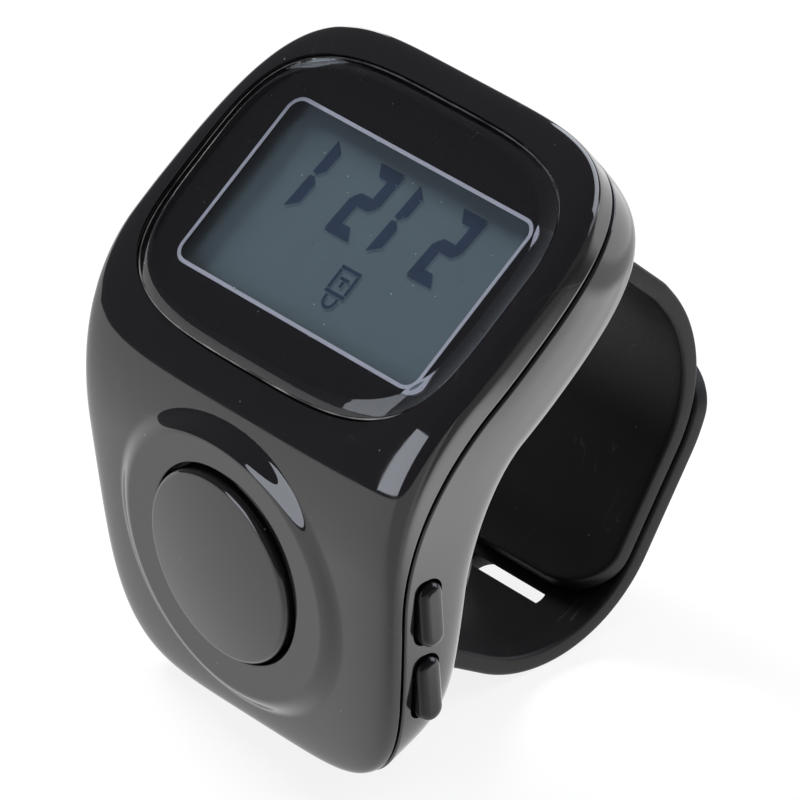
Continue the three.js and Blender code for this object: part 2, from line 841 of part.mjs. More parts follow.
// Side buttons stand on the wall of the bottom shell, on the side of positive x.
const sideStation = partingLine.total + inFront(partingLine.point(3)).x;
const sideWallX = (height, inset = 0) => {
  const half = partingLine.total / 2;
  const distance = sideStation - height;
  const row = (distance - half) / (half - inset);
  const rim = (1 - Math.abs(row) ** outlinePower) ** (1 / outlinePower);
  return (halfWidthAt(distance) - inset) * rim;
};
const wallInside = Math.min(...sideButtonPlaces.map((height) => sideWallX(height, sideWall)));
const sideFlangeInside = wallInside - gap - sideFlangeThickness;
const plungerTip = sideFlangeInside - sideButtonTravel - fineGap;
const switchFace = plungerTip - plungerLength;
const switchBack = switchFace - switchThickness;
const sideBoardFace = switchBack - fineGap;
const sideBoardBack = sideBoardFace - sideBoardThickness;
const flangeLength = sideHoleLength - 2 * sideButtonGap + 2 * sideFlangeEnd;
const flangeWidth = sideHoleWidth - 2 * sideButtonGap + 2 * sideFlange;
const sideBoardTop = Math.max(...sideButtonPlaces) + switchLength / 2 + fineGap;
const sideBoardBottom = Math.min(...sideButtonPlaces) - switchLength / 2 - fineGap;
const sideBoardLow = -sideButtonDepth - switchWidth / 2 - fineGap;
const sideBoardHigh = -sideButtonDepth + switchWidth / 2 + fineGap;

function sidePlate(length, width, low, high, height) {
  return plate(stadium(length, width), low, high).rotateY(Math.PI / 2)
    .translate(0, height, -sideButtonDepth);
}

function sideBoardShelf() {
  return atFront(block(
    sideBoardBack - gap, sideBoardFace + gap, sideBoardBottom, sideBoardTop,
    -farBelow, sideBoardLow - gap,
  ));
}

function sideBoardRoom() {
  return atFront(block(
    sideBoardBack - gap, switchFace + gap, sideBoardBottom - gap, sideBoardTop + gap,
    sideBoardLow - gap, sideBoardHigh + gap,
  ));
}

function buttonBoardRibs() {
  const outer = buttonBoardHalf - gap;
  const inner = outer - 0.8;
  return [-1, 1].map((side) => {
    const low = Math.min(side * inner, side * outer);
    return atFront(block(
      low, low + outer - inner, -buttonBoardHalf + gap, buttonBoardHalf - gap,
      -farBelow, buttonBoardBottom - gap,
    ));
  });
}

const doorOutline = (grow) => {
  const round = solid(disc(doorRadius + grow, bottomLevel - 3, doorTop + grow));
  const tabRadius = doorTabRadius + grow;
  const tab = solid(disc(tabRadius, bottomLevel - 3, doorTop + grow, 24)
    .translate(doorTabReach, 0, 0));
  const bridge = solid(block(0, doorTabReach, -tabRadius, tabRadius, bottomLevel - 3,
    doorTop + grow));
  return joined(round, tab, bridge);
};

const aboveBottom = solid(block(-farBelow, farBelow, -farBelow, farBelow, bottomLevel, farBelow));

function leafNotch() {
  const half = leafWidth / 2 + gap;
  return solid(block(-ringRadius - 1, -cellRadius, -half, half, cellBottom + gap, boardBottom));
}

function bottomShell() {
  const walls = lowerCase.subtract(cavity());
  const postTop = -bossLength - gap;
  const screwPosts = screws.flatMap((place) => [
    atScrew(place, bossRadius, -farBelow, postTop),
    atScrew(place, screwHeadRadius + fineGap + bossWall, -farBelow, postTop - screwSeat + seatCap),
  ]);
  const cellHolder = solid(disc(ringRadius, bottomLevel, boardBottom - gap, 48));
  const doorPost = solid(disc(doorTabRadius, bottomLevel, doorTop + doorPostHeight, 24)
    .translate(doorTabReach, 0, 0));
  const inside = joined(
    cellHolder, doorPost, sideBoardShelf(), ...buttonBoardRibs(), ...screwPosts,
    ...anchors.flatMap(lugs),
  ).intersect(roots);
  const screwHoles = screws.flatMap((place) => [
    atScrew(place, screwRadius + fineGap, -farBelow, 0),
    atScrew(place, screwHeadRadius + fineGap, -farBelow, postTop - screwSeat),
  ]);
  const sideHoles = sideButtonPlaces.flatMap((height) => [
    sidePlate(sideHoleLength, sideHoleWidth, wallInside - 1, caseHalfWidth + 1, height),
    sidePlate(
      flangeLength + 2 * gap, flangeWidth + 2 * gap, sideFlangeInside - gap, wallInside, height,
    ),
  ].map(atFront));
  const pinHoles = anchors.map(({ point }) => across(
    pinRadius + fineGap, strapWidth / 2 + gap + lugWidth + 0.5, point,
  ));
  return cut(
    joined(walls, inside),
    solid(disc(cellBore, bottomLevel - 3, boardTop)),
    doorOutline(fineGap),
    solid(disc(screwRadius + fineGap, bottomLevel - 1, doorTop + doorBoreReach, smallSteps)
      .translate(doorTabReach, 0, 0)),
    leafNotch(),
    sideBoardRoom(),
    strapRoom(frontAnchor, 0, strapRoomLength, 0),
    strapRoom(rearAnchor, loop.total - strapRoomLength, loop.total, strapPitch),
    ...screwHoles, ...sideHoles, ...pinHoles,
  );
}

function lens() {
  const seam = squirclePoints(lensHalfWidth, lensHalfLength);
  const flat = squirclePoints(lensHalfWidth - lensBevelRun, lensHalfLength - lensBevelRun);
  return wasm.Manifold.hull([
    ...seam.map(([x, y]) => [x, y, lensBottom]),
    ...seam.map(([x, y]) => [x, y, lensTop - lensBevel]),
    ...flat.map(([x, y]) => [x, y, lensTop]),
  ]);
}

function lensMask() {
  const shape = outline(squirclePoints(lensHalfWidth - gap, lensHalfLength - gap));
  shape.holes.push(roundedRectangle(windowWidth / 2, windowLength / 2, windowCorner));
  return solid(plate(shape, maskBottom, maskTop));
}

function frameRing() {
  const shape = roundedRectangle(frameOuterX, frameOuterY, frameWall);
  shape.holes.push(roundedRectangle(frameInnerX, frameInnerY, fineGap));
  return solid(plate(shape, boardTop + fineGap, glassTop));
}

function mainBoard() {
  const centre = (boardRearY + boardFrontY) / 2;
  const shape = roundedRectangle(boardHalfWidth, (boardRearY - boardFrontY) / 2, boardCorner);
  const base = solid(plate(shape, boardBottom, boardTop).translate(0, centre, 0));
  return cut(base, ...screws.slice(0, 2).map((place) => atScrew(
    place, bossRadius + gap, -farBelow, 0,
  )));
}

// A thin strip whose side view is a line of y-z points, drawn out along x.
function strip(points, thickness, halfWidth) {
  const line = points.map(([y, z]) => new THREE.Vector2(y, z));
  const left = [];
  const right = [];
  line.forEach((point, i) => {
    const before = line[Math.max(0, i - 1)];
    const after = line[Math.min(line.length - 1, i + 1)];
    const into = point.clone().sub(before);
    const out = after.clone().sub(point);
    if (i === 0) into.copy(out);
    if (i === line.length - 1) out.copy(into);
    const bisector = leftOf(into.normalize()).add(leftOf(out.normalize())).normalize();
    const reach = thickness / 2 / bisector.dot(leftOf(out));
    left.push(point.clone().addScaledVector(bisector, reach));
    right.push(point.clone().addScaledVector(bisector, -reach));
  });
  return acrossX(new THREE.Shape([...left, ...right.reverse()]), halfWidth);
}

function boardRibbon() {
  const start = boardBottom - fineGap - ribbonThickness / 2;
  const boardEdge = fromFront(buttonBoardHalf + fineGap, buttonBoardBottom
    + buttonBoardThickness / 2);
  const leadIn = fromFront(buttonBoardHalf + 1.2, buttonBoardBottom + buttonBoardThickness / 2);
  return solid(strip([
    [boardFrontY + 1.1, start], [boardFrontY + 0.2, start], [boardFrontY - 0.6, start - 0.9],
    [boardFrontY - 1.2, leadIn.y + 0.6], [leadIn.x, leadIn.y], [boardEdge.x, boardEdge.y],
  ], ribbonThickness, ribbonWidth / 2));
}

function contactMinus() {
  const high = boardBottom - fineGap - leafThickness / 2;
  const low = cellTop + fineGap + leafThickness / 2;
  const geometry = strip([
    [-cellRadius + 1.2, high], [-cellRadius + 2.4, high], [-0.8, low], [0.8, low],
    [cellRadius - 2.4, high], [cellRadius - 1.2, high],
  ], leafThickness, leafWidth / 2);
  return solid(geometry.rotateZ(Math.PI / 2));
}

function contactPlus() {
  const high = boardBottom - fineGap - leafThickness / 2;
  const upright = -cellRadius - fineGap - leafThickness / 2;
  const geometry = strip([
    [upright, cellBottom + 2 * gap], [upright, high], [upright - leafFoot, high],
  ], leafThickness, leafWidth / 2);
  return solid(geometry.rotateZ(-Math.PI / 2));
}

const buttonCell = () => solid(turned([
  [0, cellBottom], [cellRadius - 0.2, cellBottom], [cellRadius, cellBottom + 0.2],
  [cellRadius, cellTop - 0.55], [cellRadius - 0.3, cellTop - 0.3],
  [cellRadius - 0.9, cellTop - 0.25], [cellRadius - 1, cellTop], [0, cellTop],
]));

function batteryDoor() {
  const body = doorOutline(0).intersect(aboveBottom);
  const coinSlot = block(
    -coinSlotLength / 2, coinSlotLength / 2, -coinSlotWidth / 2, coinSlotWidth / 2,
    bottomLevel - 1, bottomLevel + coinSlotDepth,
  );
  const headRoom = disc(screwHeadRadius + fineGap, bottomLevel - 1,
    bottomLevel + coinSlotDepth + fineGap, smallSteps).translate(doorTabReach, 0, 0);
  const bore = disc(screwRadius + fineGap, bottomLevel - 1, doorTop + 1, smallSteps)
    .translate(doorTabReach, 0, 0);
  return cut(body, solid(coinSlot), solid(headRoom), solid(bore));
}

// A screw with its head below and a cross recess in the head.
function screw(headFace, headThickness, tip) {
  const headTop = headFace + headThickness;
  const body = solid(turned([
    [0, headFace], [screwHeadRadius, headFace], [screwHeadRadius, headTop],
    [screwRadius, headTop], [screwRadius, tip - 0.3], [0.15, tip], [0, tip],
  ], smallSteps));
  const arm = [0.55, 0.15, 0.3];
  const recess = [
    block(-arm[0], arm[0], -arm[1], arm[1], headFace - 1, headFace + arm[2]),
    block(-arm[1], arm[1], -arm[0], arm[0], headFace - 1, headFace + arm[2]),
  ].map(solid);
  return cut(body, ...recess);
}

function caseScrew({ x, y, parting, matrix }) {
  const seat = parting - bossLength - gap - screwSeat - fineGap;
  const body = screw(seat - screwHeadThickness, screwHeadThickness, parting + fineGap);
  return surface(body).translate(x, y, 0).applyMatrix4(matrix);
}

function mainButton() {
  const profile = [[0, flangeBottom], [flangeRadius, flangeBottom], [flangeRadius, flangeTop],
    [capRadius, flangeTop], [capRadius, buttonProud - buttonEdge]];
  for (let i = 1; i <= 3; i += 1) {
    const angle = (Math.PI / 2) * (i / 3);
    profile.push([
      capRadius - buttonEdge * (1 - Math.cos(angle)),
      buttonProud - buttonEdge * (1 - Math.sin(angle)),
    ]);
  }
  const rim = capRadius - buttonEdge;
  for (let i = 1; i <= 5; i += 1) {
    const share = 1 - i / 5;
    profile.push([rim * share, buttonProud + buttonCrown * (1 - share * share)]);
  }
  return turned(profile, 48);
}

const mainDome = () => turned([
  [0, domeBottom], [domeRadius, domeBottom], [domeRadius, domeBottom + 0.3],
  [domeRadius * 0.6, domeTop], [0, domeTop],
], 24);

function sideButton(height) {
  const length = sideHoleLength - 2 * sideButtonGap;
  const width = sideHoleWidth - 2 * sideButtonGap;
  const flangeOutside = sideFlangeInside + sideFlangeThickness;
  const face = sideWallX(height) + sideButtonProud;
  const crown = 0.3;
  const flange = sidePlate(flangeLength, flangeWidth, sideFlangeInside, flangeOutside, height);
  const cap = sidePlate(length, width, flangeOutside - 0.1, face - crown, height);
  const top = sidePlate(length - 2 * crown, width - 2 * crown, face - 0.01, face, height);
  const edge = sidePlate(length, width, face - crown - 0.01, face - crown, height);
  const crowned = solid(top).add(solid(edge)).hull();
  return surface(joined(solid(flange), solid(cap), crowned));
}

function sideSwitch(height) {
  const body = block(
    switchBack, switchFace, height - switchLength / 2, height + switchLength / 2,
    -sideButtonDepth - switchWidth / 2, -sideButtonDepth + switchWidth / 2,
  );
  const plunger = disc(plungerRadius, switchFace - 0.2, plungerTip, smallSteps)
    .rotateY(Math.PI / 2).translate(0, height, -sideButtonDepth);
  return surface(joined(solid(body), solid(plunger)));
}

const strapPin = ({ point }) => rodAcross(pinRadius, strapWidth / 2 + lugWidth)
  .translate(0, point.x, point.y);

const boxOn = ([x, y], [length, width, height], low) => block(
  x - length / 2, x + length / 2, y - width / 2, y + width / 2, low, low + height,
);

// Every piece: its name, its solid and its finish
const pieces = [];
const add = (name, geometry, material) => pieces.push({ name, geometry, material });
const addFront = (name, geometry, material) =>
  add(name, geometry.applyMatrix4(frontMatrix), material);

add('top_shell', surface(topShell()), blackGloss);
add('bottom_shell', surface(bottomShell()), blackGloss);
add('lens', surface(lens()), clearLens);
add('lens_mask', surface(lensMask()), darkPrint);
add('lcd_front_glass', block(
  -glassHalfWidth, glassHalfWidth, -glassHalfLength, glassHalfLength,
  glassTop - glassThickness, glassTop,
), greyGlass);
add('lcd_rear_glass', block(
  -glassHalfWidth, glassHalfWidth, -glassHalfLength + contactLedge, glassHalfLength,
  rearGlassBottom, rearGlassTop,
), greyGlass);
add('lcd_frame', surface(frameRing()), whitePlastic);
add('zebra_strip', block(
  -glassHalfWidth + gap, glassHalfWidth - gap,
  -glassHalfLength + fineGap, -glassHalfLength + fineGap + zebraWidth,
  boardTop + fineGap, glassTop - glassThickness - fineGap,
), pinkRubber);
add('circuit_board', surface(mainBoard()), boardGreen);
add('chip_blob', turned([
  [0, boardBottom - fineGap - blobHeight], [blobRadius * 0.5, boardBottom - blobHeight],
  [blobRadius, boardBottom - fineGap - 0.2], [blobRadius, boardBottom - fineGap],
  [0, boardBottom - fineGap],
], 24).translate(...blobPlace, 0), epoxyBlack);
add('capacitor', boxOn(
  capacitorPlace, capacitorSize, boardBottom - fineGap - capacitorSize[2],
), ceramicTan);
add('resistor', boxOn(
  resistorPlace, resistorSize, boardBottom - fineGap - resistorSize[2],
), epoxyBlack);
add('board_ribbon', surface(boardRibbon()), amberFilm);
add('cell_contact_minus', surface(contactMinus()), springSteel);
add('cell_contact_plus', surface(contactPlus()), springSteel);
add('button_cell', surface(buttonCell()), springSteel);
add('battery_door', surface(batteryDoor()), blackGloss);
add('battery_door_screw', surface(screw(
  bottomLevel + fineGap / 2, coinSlotDepth - fineGap, doorTop + doorScrewReach,
)).translate(doorTabReach, 0, 0), springSteel);
screws.forEach((place, i) => add(`case_screw_${i + 1}`, caseScrew(place), springSteel));
addFront('main_button', mainButton(), buttonGloss);
addFront('main_dome', mainDome(), blackRubber);
addFront('button_board', plate(
  roundedRectangle(buttonBoardHalf, buttonBoardHalf, 1), buttonBoardBottom, buttonBoardTop,
), boardGreen);
addFront('side_button_upper', sideButton(sideButtonPlaces[0]), buttonGloss);
addFront('side_button_lower', sideButton(sideButtonPlaces[1]), buttonGloss);
addFront('side_switch_upper', sideSwitch(sideButtonPlaces[0]), whitePlastic);
addFront('side_switch_lower', sideSwitch(sideButtonPlaces[1]), whitePlastic);
addFront('side_board', block(
  sideBoardBack, sideBoardFace, sideBoardBottom, sideBoardTop, sideBoardLow, sideBoardHigh,
), boardGreen);
add('front_strap', surface(frontStrap()), blackRubber);
add('rear_strap', surface(rearStrap()), blackRubber);
add('front_strap_pin', strapPin(anchors[0]), springSteel);
add('rear_strap_pin', strapPin(anchors[1]), springSteel);

// Lowest height of some pieces once the object is tipped forward by an angle.
function lowest(names, angle) {
  let least = Infinity;
  for (const { name, geometry } of pieces) {
    if (!names.includes(name)) continue;
    const { array } = geometry.attributes.position;
    for (let i = 0; i < array.length; i += 3) {
      const height = array[i + 1] * Math.sin(angle) + array[i + 2] * Math.cos(angle);
      least = Math.min(least, height);
    }
  }
  return least;
}

// The object stands on the front end of its case and on its straps: the tip angle at which
// both touch the table.
function standingAngle() {
  let low = 0.3;
  let high = 1.2;
  for (let i = 0; i < 40; i += 1) {
    const angle = (low + high) / 2;
    const onCase = lowest(['top_shell', 'bottom_shell'], angle);
    const onStraps = lowest(['front_strap', 'rear_strap'], angle);
    if (onCase > onStraps) low = angle;
    else high = angle;
  }
  return (low + high) / 2;
}

const standing = new THREE.Matrix4().makeRotationX(standingAngle());
const bounds = new THREE.Box3();
for (const piece of pieces) {
  piece.geometry.applyMatrix4(standing);
  piece.geometry.computeBoundingBox();
  bounds.union(piece.geometry.boundingBox);
}
const foot = bounds.getCenter(new THREE.Vector3()).setZ(bounds.min.z);

const counter = new THREE.Group();
counter.name = 'finger_tally_counter';
for (const { name, geometry, material } of pieces) {
  geometry.translate(-foot.x, -foot.y, -foot.z);
  const mesh = new THREE.Mesh(geometry, material());
  mesh.name = name;
  counter.add(mesh);
}

export default counter;
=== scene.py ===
"""Looks of the digital tally counter worn on a finger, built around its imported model.

Lengths are millimetres in the case's own frame, as in the part's source: x across the display,
y towards the rear of the case and z out of the display, with z = 0 near the printed border.
Front pieces use x, the height up the front face and the depth out of it. The matrices CASE and
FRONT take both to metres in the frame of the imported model.
"""

import math

import bpy
import numpy as np
from mathutils import Matrix, Vector
from mathutils.bvhtree import BVHTree


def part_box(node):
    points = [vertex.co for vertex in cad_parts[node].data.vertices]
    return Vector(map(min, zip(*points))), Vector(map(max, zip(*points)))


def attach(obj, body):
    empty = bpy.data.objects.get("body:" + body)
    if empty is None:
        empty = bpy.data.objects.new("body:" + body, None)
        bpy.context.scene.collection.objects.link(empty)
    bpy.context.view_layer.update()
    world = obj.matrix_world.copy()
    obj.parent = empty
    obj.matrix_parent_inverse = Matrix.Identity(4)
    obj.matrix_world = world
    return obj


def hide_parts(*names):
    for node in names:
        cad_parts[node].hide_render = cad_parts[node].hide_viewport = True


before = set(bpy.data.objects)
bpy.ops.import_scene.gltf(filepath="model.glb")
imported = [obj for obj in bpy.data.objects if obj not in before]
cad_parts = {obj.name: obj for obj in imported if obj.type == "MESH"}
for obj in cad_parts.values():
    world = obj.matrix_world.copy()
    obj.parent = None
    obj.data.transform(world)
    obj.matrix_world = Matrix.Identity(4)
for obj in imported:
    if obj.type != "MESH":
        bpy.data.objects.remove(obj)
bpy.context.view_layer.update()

MM = 0.001

# Case form, as in the part's source
CASE_HALF_WIDTH = 15.7
FRONT_HALF_WIDTH = 13.9
NARROW_FROM, NARROW_TO = 14, 38
REAR_END = 12.3
FRONT_SLOPE = math.radians(56.3)
BOTTOM_SLOPE = math.radians(48.5)
TOP_LEVEL, TOP_CORNER, TOP_BEND = 1.3, -12.3, 13
PARTING_LEVEL, PARTING_CORNER, PARTING_BEND, PARTING_FRONT = -1.4, -12.2, 15, 21.6
BOTTOM_LEVEL, BOTTOM_CORNER, BOTTOM_BEND, BOTTOM_FRONT = -9, -8.3, 10, 15
OUTLINE_POWER = 5
TOP_POWERS = (8.4, 4)
BOTTOM_POWERS = (3.7, 5.9)
SIDE_WALL, BOTTOM_WALL = 1.5, 1.4
PARTING_GAP, GAP, FINE_GAP = 0.2, 0.3, 0.15
SHELL_LIP = 0.15
SHELL_POINTS, TOP_RINGS, BOTTOM_RINGS = 480, (44, 40), (40, 56)
ROOM_POINTS, ROOM_RINGS = 160, (10, 20)
SHELL_SHARP = 30
LID_BACK, LID_RISE = 1.5, 3
RIB_INSIDE, RIB_OUTSIDE, RIB_HALF = 2.3, 3.1, 3.1
FORMS_INSET, SEAT_FLOOR = 0.6, 0.4
BELOW = 12

# Display stack
LENS_HALF_WIDTH, LENS_HALF_LENGTH, LENS_POWER = 13.8, 10, 3.6
LENS_TOP, LENS_BOTTOM = 1.35, -0.25
LENS_BEVEL, LENS_BEVEL_RUN = 0.45, 0.9
SEAM_LEVEL, DUST_INSIDE, DUST_OUTSIDE, DUST_DEPTH = 0.86, 0.01, 0.085, 0.05
MASK_TOP, MASK_BOTTOM = -0.4, -0.55
LEDGE_TOP, LEDGE_BOTTOM = -0.7, -1.3
GLASS_TOP, GLASS_BOTTOM = -1.45, -2.05
GLASS_HALF_LENGTH = 6.5
FRAME_OUTER_X, FRAME_OUTER_Y = 12.05, 7.05
WINDOW_WIDTH, WINDOW_LENGTH, WINDOW_CORNER, WINDOW_MARGIN = 22.2, 12.2, 0.9, 0.25
BOARD_TOP, BOARD_BOTTOM = -3.2, -3.9
PRINT_HALF, PRINT_CORNER, PRINT_OFFSET = (10.84, 6.04), 0.85, 0.22
PRINT_LINE = 0.25
SHADOW_SHIFT = (0.22, -0.16)

# Front button
BUTTON_DISTANCE = 11.75
MOUND_RISE, MOUND_RADIUS, MOUND_SHOULDER, MOUND_FOOT = 0.45, 10.85, 8.8, -2.3
# Radii of the ring's foot and of its level top, with what is added above and at the lower left
MOUND_OUTER, MOUND_INNER = (MOUND_RADIUS - 0.52, -0.95, 0.45), (MOUND_SHOULDER, -0.55, 0.25)
MOUND_LOWER_LEFT = (-0.9, -0.44)
MOUND_EDGE, MOUND_LIP, MOUND_POINTS = 0.17, 0.13, 360
BUTTON_HOLE_RADIUS, CAP_RADIUS, FLANGE_RADIUS = 6.55, 6.3, 7.1
FLANGE_THICKNESS, BUTTON_PROUD, BUTTON_CROWN, BUTTON_EDGE = 0.6, 0.6, 0.4, 0.35
BUTTON_TRAVEL, DOME_RADIUS, DOME_HEIGHT = 0.6, 3.1, 1.1
BUTTON_BOARD_THICKNESS = 0.7

# Side buttons
SIDE_DEPTH = 3.9
SIDE_PLACES = {"upper": 1.45, "lower": -4.1}
SIDE_HOLE_LENGTH, SIDE_HOLE_WIDTH, SIDE_GAP, SIDE_PROUD = 4.8, 2.1, 0.2, 0.75
SIDE_FLANGE, SIDE_FLANGE_END, SIDE_FLANGE_THICKNESS = 0.45, 0.15, 0.6
SIDE_BOARD_LOW, SIDE_BOARD_HIGH = -5.15, -2.65
SIDE_BOARD_FOOT, SIDE_BOARD_HEAD = -5.8, 3.15
SWITCH_NUB, SWITCH_TRAVEL_GAP, SWITCH_BODY, SIDE_BOARD_THICKNESS = 0.4, 0.5, 0.9, 0.4

# Cell cover
CELL_BORE, DOOR_RADIUS, DOOR_TOP, RING_RADIUS = 6.1, 6.6, -7.9, 7.45
CELL_BOTTOM = -7.75
DOOR_TAB_RADIUS, DOOR_TAB_REACH = 1.6, 8.2
DOOR_POST, DOOR_THREAD = 2.4, 1.6
CONTACT_ROOM, CONTACT_HALF = -5.8, 1.3

# Straps
STRAP_WIDTH, STRAP_THICKNESS, STRAP_PITCH = 14.4, 1.25, 1.4
STRAP_EDGE = 0.3
LUG_THICKNESS, LUG_HALF, LUG_WALL = 1.1, 1.35, 0.8
STRAP_ROOM_LENGTH = 8
BEAD_RADIUS, BEAD_HALF, PIN_RADIUS = 0.95, 7.1, 0.45
PIN_DOWN, PIN_DEEP, REAR_PIN = 4.9, 5.6, (8.5, -6.2)
LOOP_CORNERS = (((-10.05, -32.9), 9.2), ((11.5, -24.9), 10.5), ((11.6, -16.5), 5))
TONGUE_CORNER, TIP_CORNER, TONGUE_Y, TIP_Y = 4.3, 3.2, -6.5, 9.2
SLOT_LENGTH, SLOT_WIDTH, SLOT_PITCH, SLOT_COUNT, FIRST_SLOT_Y = 6.4, 2.2, 5.2, 3, -7.6
PEG_STEM, PEG_HEAD = (5.4, 1.2), (5.8, 2.8)
SLOT_ROUNDING = ((-0.25, -0.01), (-0.07, 0.07), (0, 0.25))
HEAD_ROUNDING = ((0.25, 0.9), (0.07, 0.83), (0, 0.65), (0, 0.2), (0.06, 0.06), (0.2, 0))

# Case screws
BOSS_RADIUS, BOSS_LENGTH, SCREW_RADIUS, SCREW_HEAD_RADIUS = 1.15, 1.3, 0.5, 0.95
SCREW_SEAT, BOSS_WALL = 2.3, 0.7


def case_matrix():
    """Takes millimetres of the case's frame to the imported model, read from its front glass."""
    low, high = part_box("lcd_front_glass")
    spread = (high - low) / MM / 2
    half, thin = GLASS_HALF_LENGTH, (GLASS_TOP - GLASS_BOTTOM) / 2
    angle = math.atan2(half * spread.z - thin * spread.y, half * spread.y - thin * spread.z)
    turn = Matrix.Rotation(angle, 4, "X")
    middle = Vector((0, 0, (GLASS_TOP + GLASS_BOTTOM) / 2))
    origin = (low + high) / 2 - (turn @ middle) * MM
    return Matrix.Translation(origin) @ turn @ Matrix.Scale(MM, 4)


CASE = case_matrix()
FRONT_DIRECTION = np.array([-math.cos(FRONT_SLOPE), -math.sin(FRONT_SLOPE)])
FRONT_NORMAL = np.array([-math.sin(FRONT_SLOPE), math.cos(FRONT_SLOPE)])
BUTTON_CENTRE = (
    np.array([TOP_CORNER, TOP_LEVEL]) + BUTTON_DISTANCE * FRONT_DIRECTION
    + MOUND_RISE * FRONT_NORMAL
)


def standing(place, angle, axis="X"):
    """Takes a form to a place in the y-z plane, turned about an axis."""
    return Matrix.Translation((0, *place)) @ Matrix.Rotation(angle, 4, axis)


FRONT_IN_CASE = standing(BUTTON_CENTRE, FRONT_SLOPE)
FRONT = CASE @ FRONT_IN_CASE


def moved(points, matrix):
    """Points taken through a matrix."""
    rows = np.asarray(points, float).reshape(-1, 3)
    whole = np.array(matrix)
    return rows @ whole[:3, :3].T + whole[:3, 3]


class BentLine:
    """A y-z line that is level from the rear, bends down and runs straight to its end."""

    def __init__(self, level, corner, slope, radius, front):
        tangent = radius * math.tan(slope / 2)
        self.level, self.slope, self.radius = level, slope, radius
        self.lengths = (REAR_END - corner - tangent, radius * slope, front - tangent)
        self.total = sum(self.lengths)
        self.marks = np.cumsum([0, *self.lengths])

    def station(self, distance):
        return np.interp(distance, self.marks, [0, 1, 2, 3])

    def point(self, station):
        level, bend, front = (np.clip(station - i, 0, 1) for i in range(3))
        angle = self.slope * bend
        run = front * self.lengths[2]
        y = REAR_END - level * self.lengths[0] - self.radius * np.sin(angle)
        z = self.level - self.radius * (1 - np.cos(angle))
        return y - run * math.cos(self.slope), z - run * math.sin(self.slope)


corner_drop = np.array([PARTING_CORNER - TOP_CORNER, PARTING_LEVEL - TOP_LEVEL])
top_line = BentLine(
    TOP_LEVEL, TOP_CORNER, FRONT_SLOPE, TOP_BEND,
    PARTING_FRONT + corner_drop @ FRONT_DIRECTION,
)
parting_line = BentLine(
    PARTING_LEVEL, PARTING_CORNER, FRONT_SLOPE, PARTING_BEND, PARTING_FRONT
)
lower_parting_line = BentLine(
    PARTING_LEVEL - PARTING_GAP, PARTING_CORNER + PARTING_GAP * math.tan(FRONT_SLOPE / 2),
    FRONT_SLOPE, PARTING_BEND - PARTING_GAP, PARTING_FRONT,
)


def bottom_at(inset):
    return BentLine(
        BOTTOM_LEVEL + inset, BOTTOM_CORNER - inset * math.tan(BOTTOM_SLOPE / 2),
        BOTTOM_SLOPE, BOTTOM_BEND + inset, BOTTOM_FRONT,
    )


class Lid:
    """The parting line raised over the cavity of the bottom shell."""

    def point(self, station):
        y, z = parting_line.point(station)
        return y - LID_BACK, z + LID_RISE


def smooth(value):
    value = np.clip(value, 0, 1)
    return value * value * (3 - 2 * value)


def half_width(distance):
    share = smooth((distance - NARROW_FROM) / (NARROW_TO - NARROW_FROM))
    return CASE_HALF_WIDTH + (FRONT_HALF_WIDTH - CASE_HALF_WIDTH) * share


def power_at(powers, station):
    return powers[0] + (powers[1] - powers[0]) * smooth(station - 1)


def superellipse(angles, power):
    """Shares of the half width and half length of a rounded outline."""
    return (np.sign(share) * np.abs(share) ** (2 / power)
            for share in (np.cos(angles), np.sin(angles)))


def rim(middle, inset, count):
    """Even places round the outline of a shell, as shares of its half width and half length."""
    samples = 8000
    angles = np.linspace(0, 2 * math.pi, samples, endpoint=False)
    x, q = superellipse(angles, OUTLINE_POWER)
    half = middle.total / 2
    width = half_width(half + q * (half - inset)) - inset
    steps = np.hypot(np.diff(x * width, append=x[0] * width[0]),
                     np.diff(q * half, append=q[0] * half))
    along = np.concatenate([[0], np.cumsum(steps)])
    wanted = along[-1] * np.arange(count) / count
    return tuple(superellipse(
        np.interp(wanted, along, np.append(angles, 2 * math.pi)), OUTLINE_POWER))


def cap_rings(middle, target, powers, inset, outline, inner_rings, edge_rings, lip=0):
    """Rings of points from the middle of a shell's skin to its edge on the parting surface."""
    x, q = outline
    half = middle.total / 2
    reach = half - inset
    station = middle.station(half + q * reach)
    power = power_at(powers, station)
    base, goal = middle.point(station), target.point(station)
    height = np.hypot(goal[0] - base[0], goal[1] - base[1])
    radius = np.hypot(x * (half_width(half + q * reach) - inset), q * reach)
    start, samples, crowding = 0.8, 500, 1.5
    rings = [np.full(len(x), math.log(start * i / inner_rings)) for i in range(1, inner_rings)]
    first = math.pi / 2 - np.arcsin(start ** (power / 2))
    edge = []
    for i in range(len(x)):
        turn = np.geomspace(first[i], 1e-9, samples)
        logs = 2 / power[i] * np.log(np.cos(turn))
        share = (-np.expm1(power[i] * logs)) ** (1 / power[i])
        steps = np.hypot(np.diff(np.exp(logs)) * radius[i], np.diff(share) * height[i])
        along = np.concatenate([[0], np.cumsum(steps)])
        part = 1 - (1 - np.arange(edge_rings) / edge_rings) ** crowding
        edge.append(2 / power[i] * np.log(np.cos(
            np.exp(np.interp(part * along[-1], along, np.log(turn))))))
    rings += list(np.array(edge).T) + [np.zeros(len(x))]
    points = []
    for logs in rings:
        rho = np.exp(logs)
        spot = middle.station(half + q * rho * reach)
        local = power_at(powers, spot)
        rise_from_edge = -np.expm1(local * np.minimum(logs, -1e-300))
        share = np.where(logs < 0, rise_from_edge ** (1 / local), 0)
        rise = share * height
        if lip:
            short = np.clip(lip - rise, 0, lip)
            rho = rho * (1 - (lip - np.sqrt(lip * lip - short * short)) / radius)
        points.append(skin_points(middle, target, inset, x * rho, q * rho, share))
    return skin_points(middle, target, inset, *np.zeros((2, 1)), np.ones(1)), points


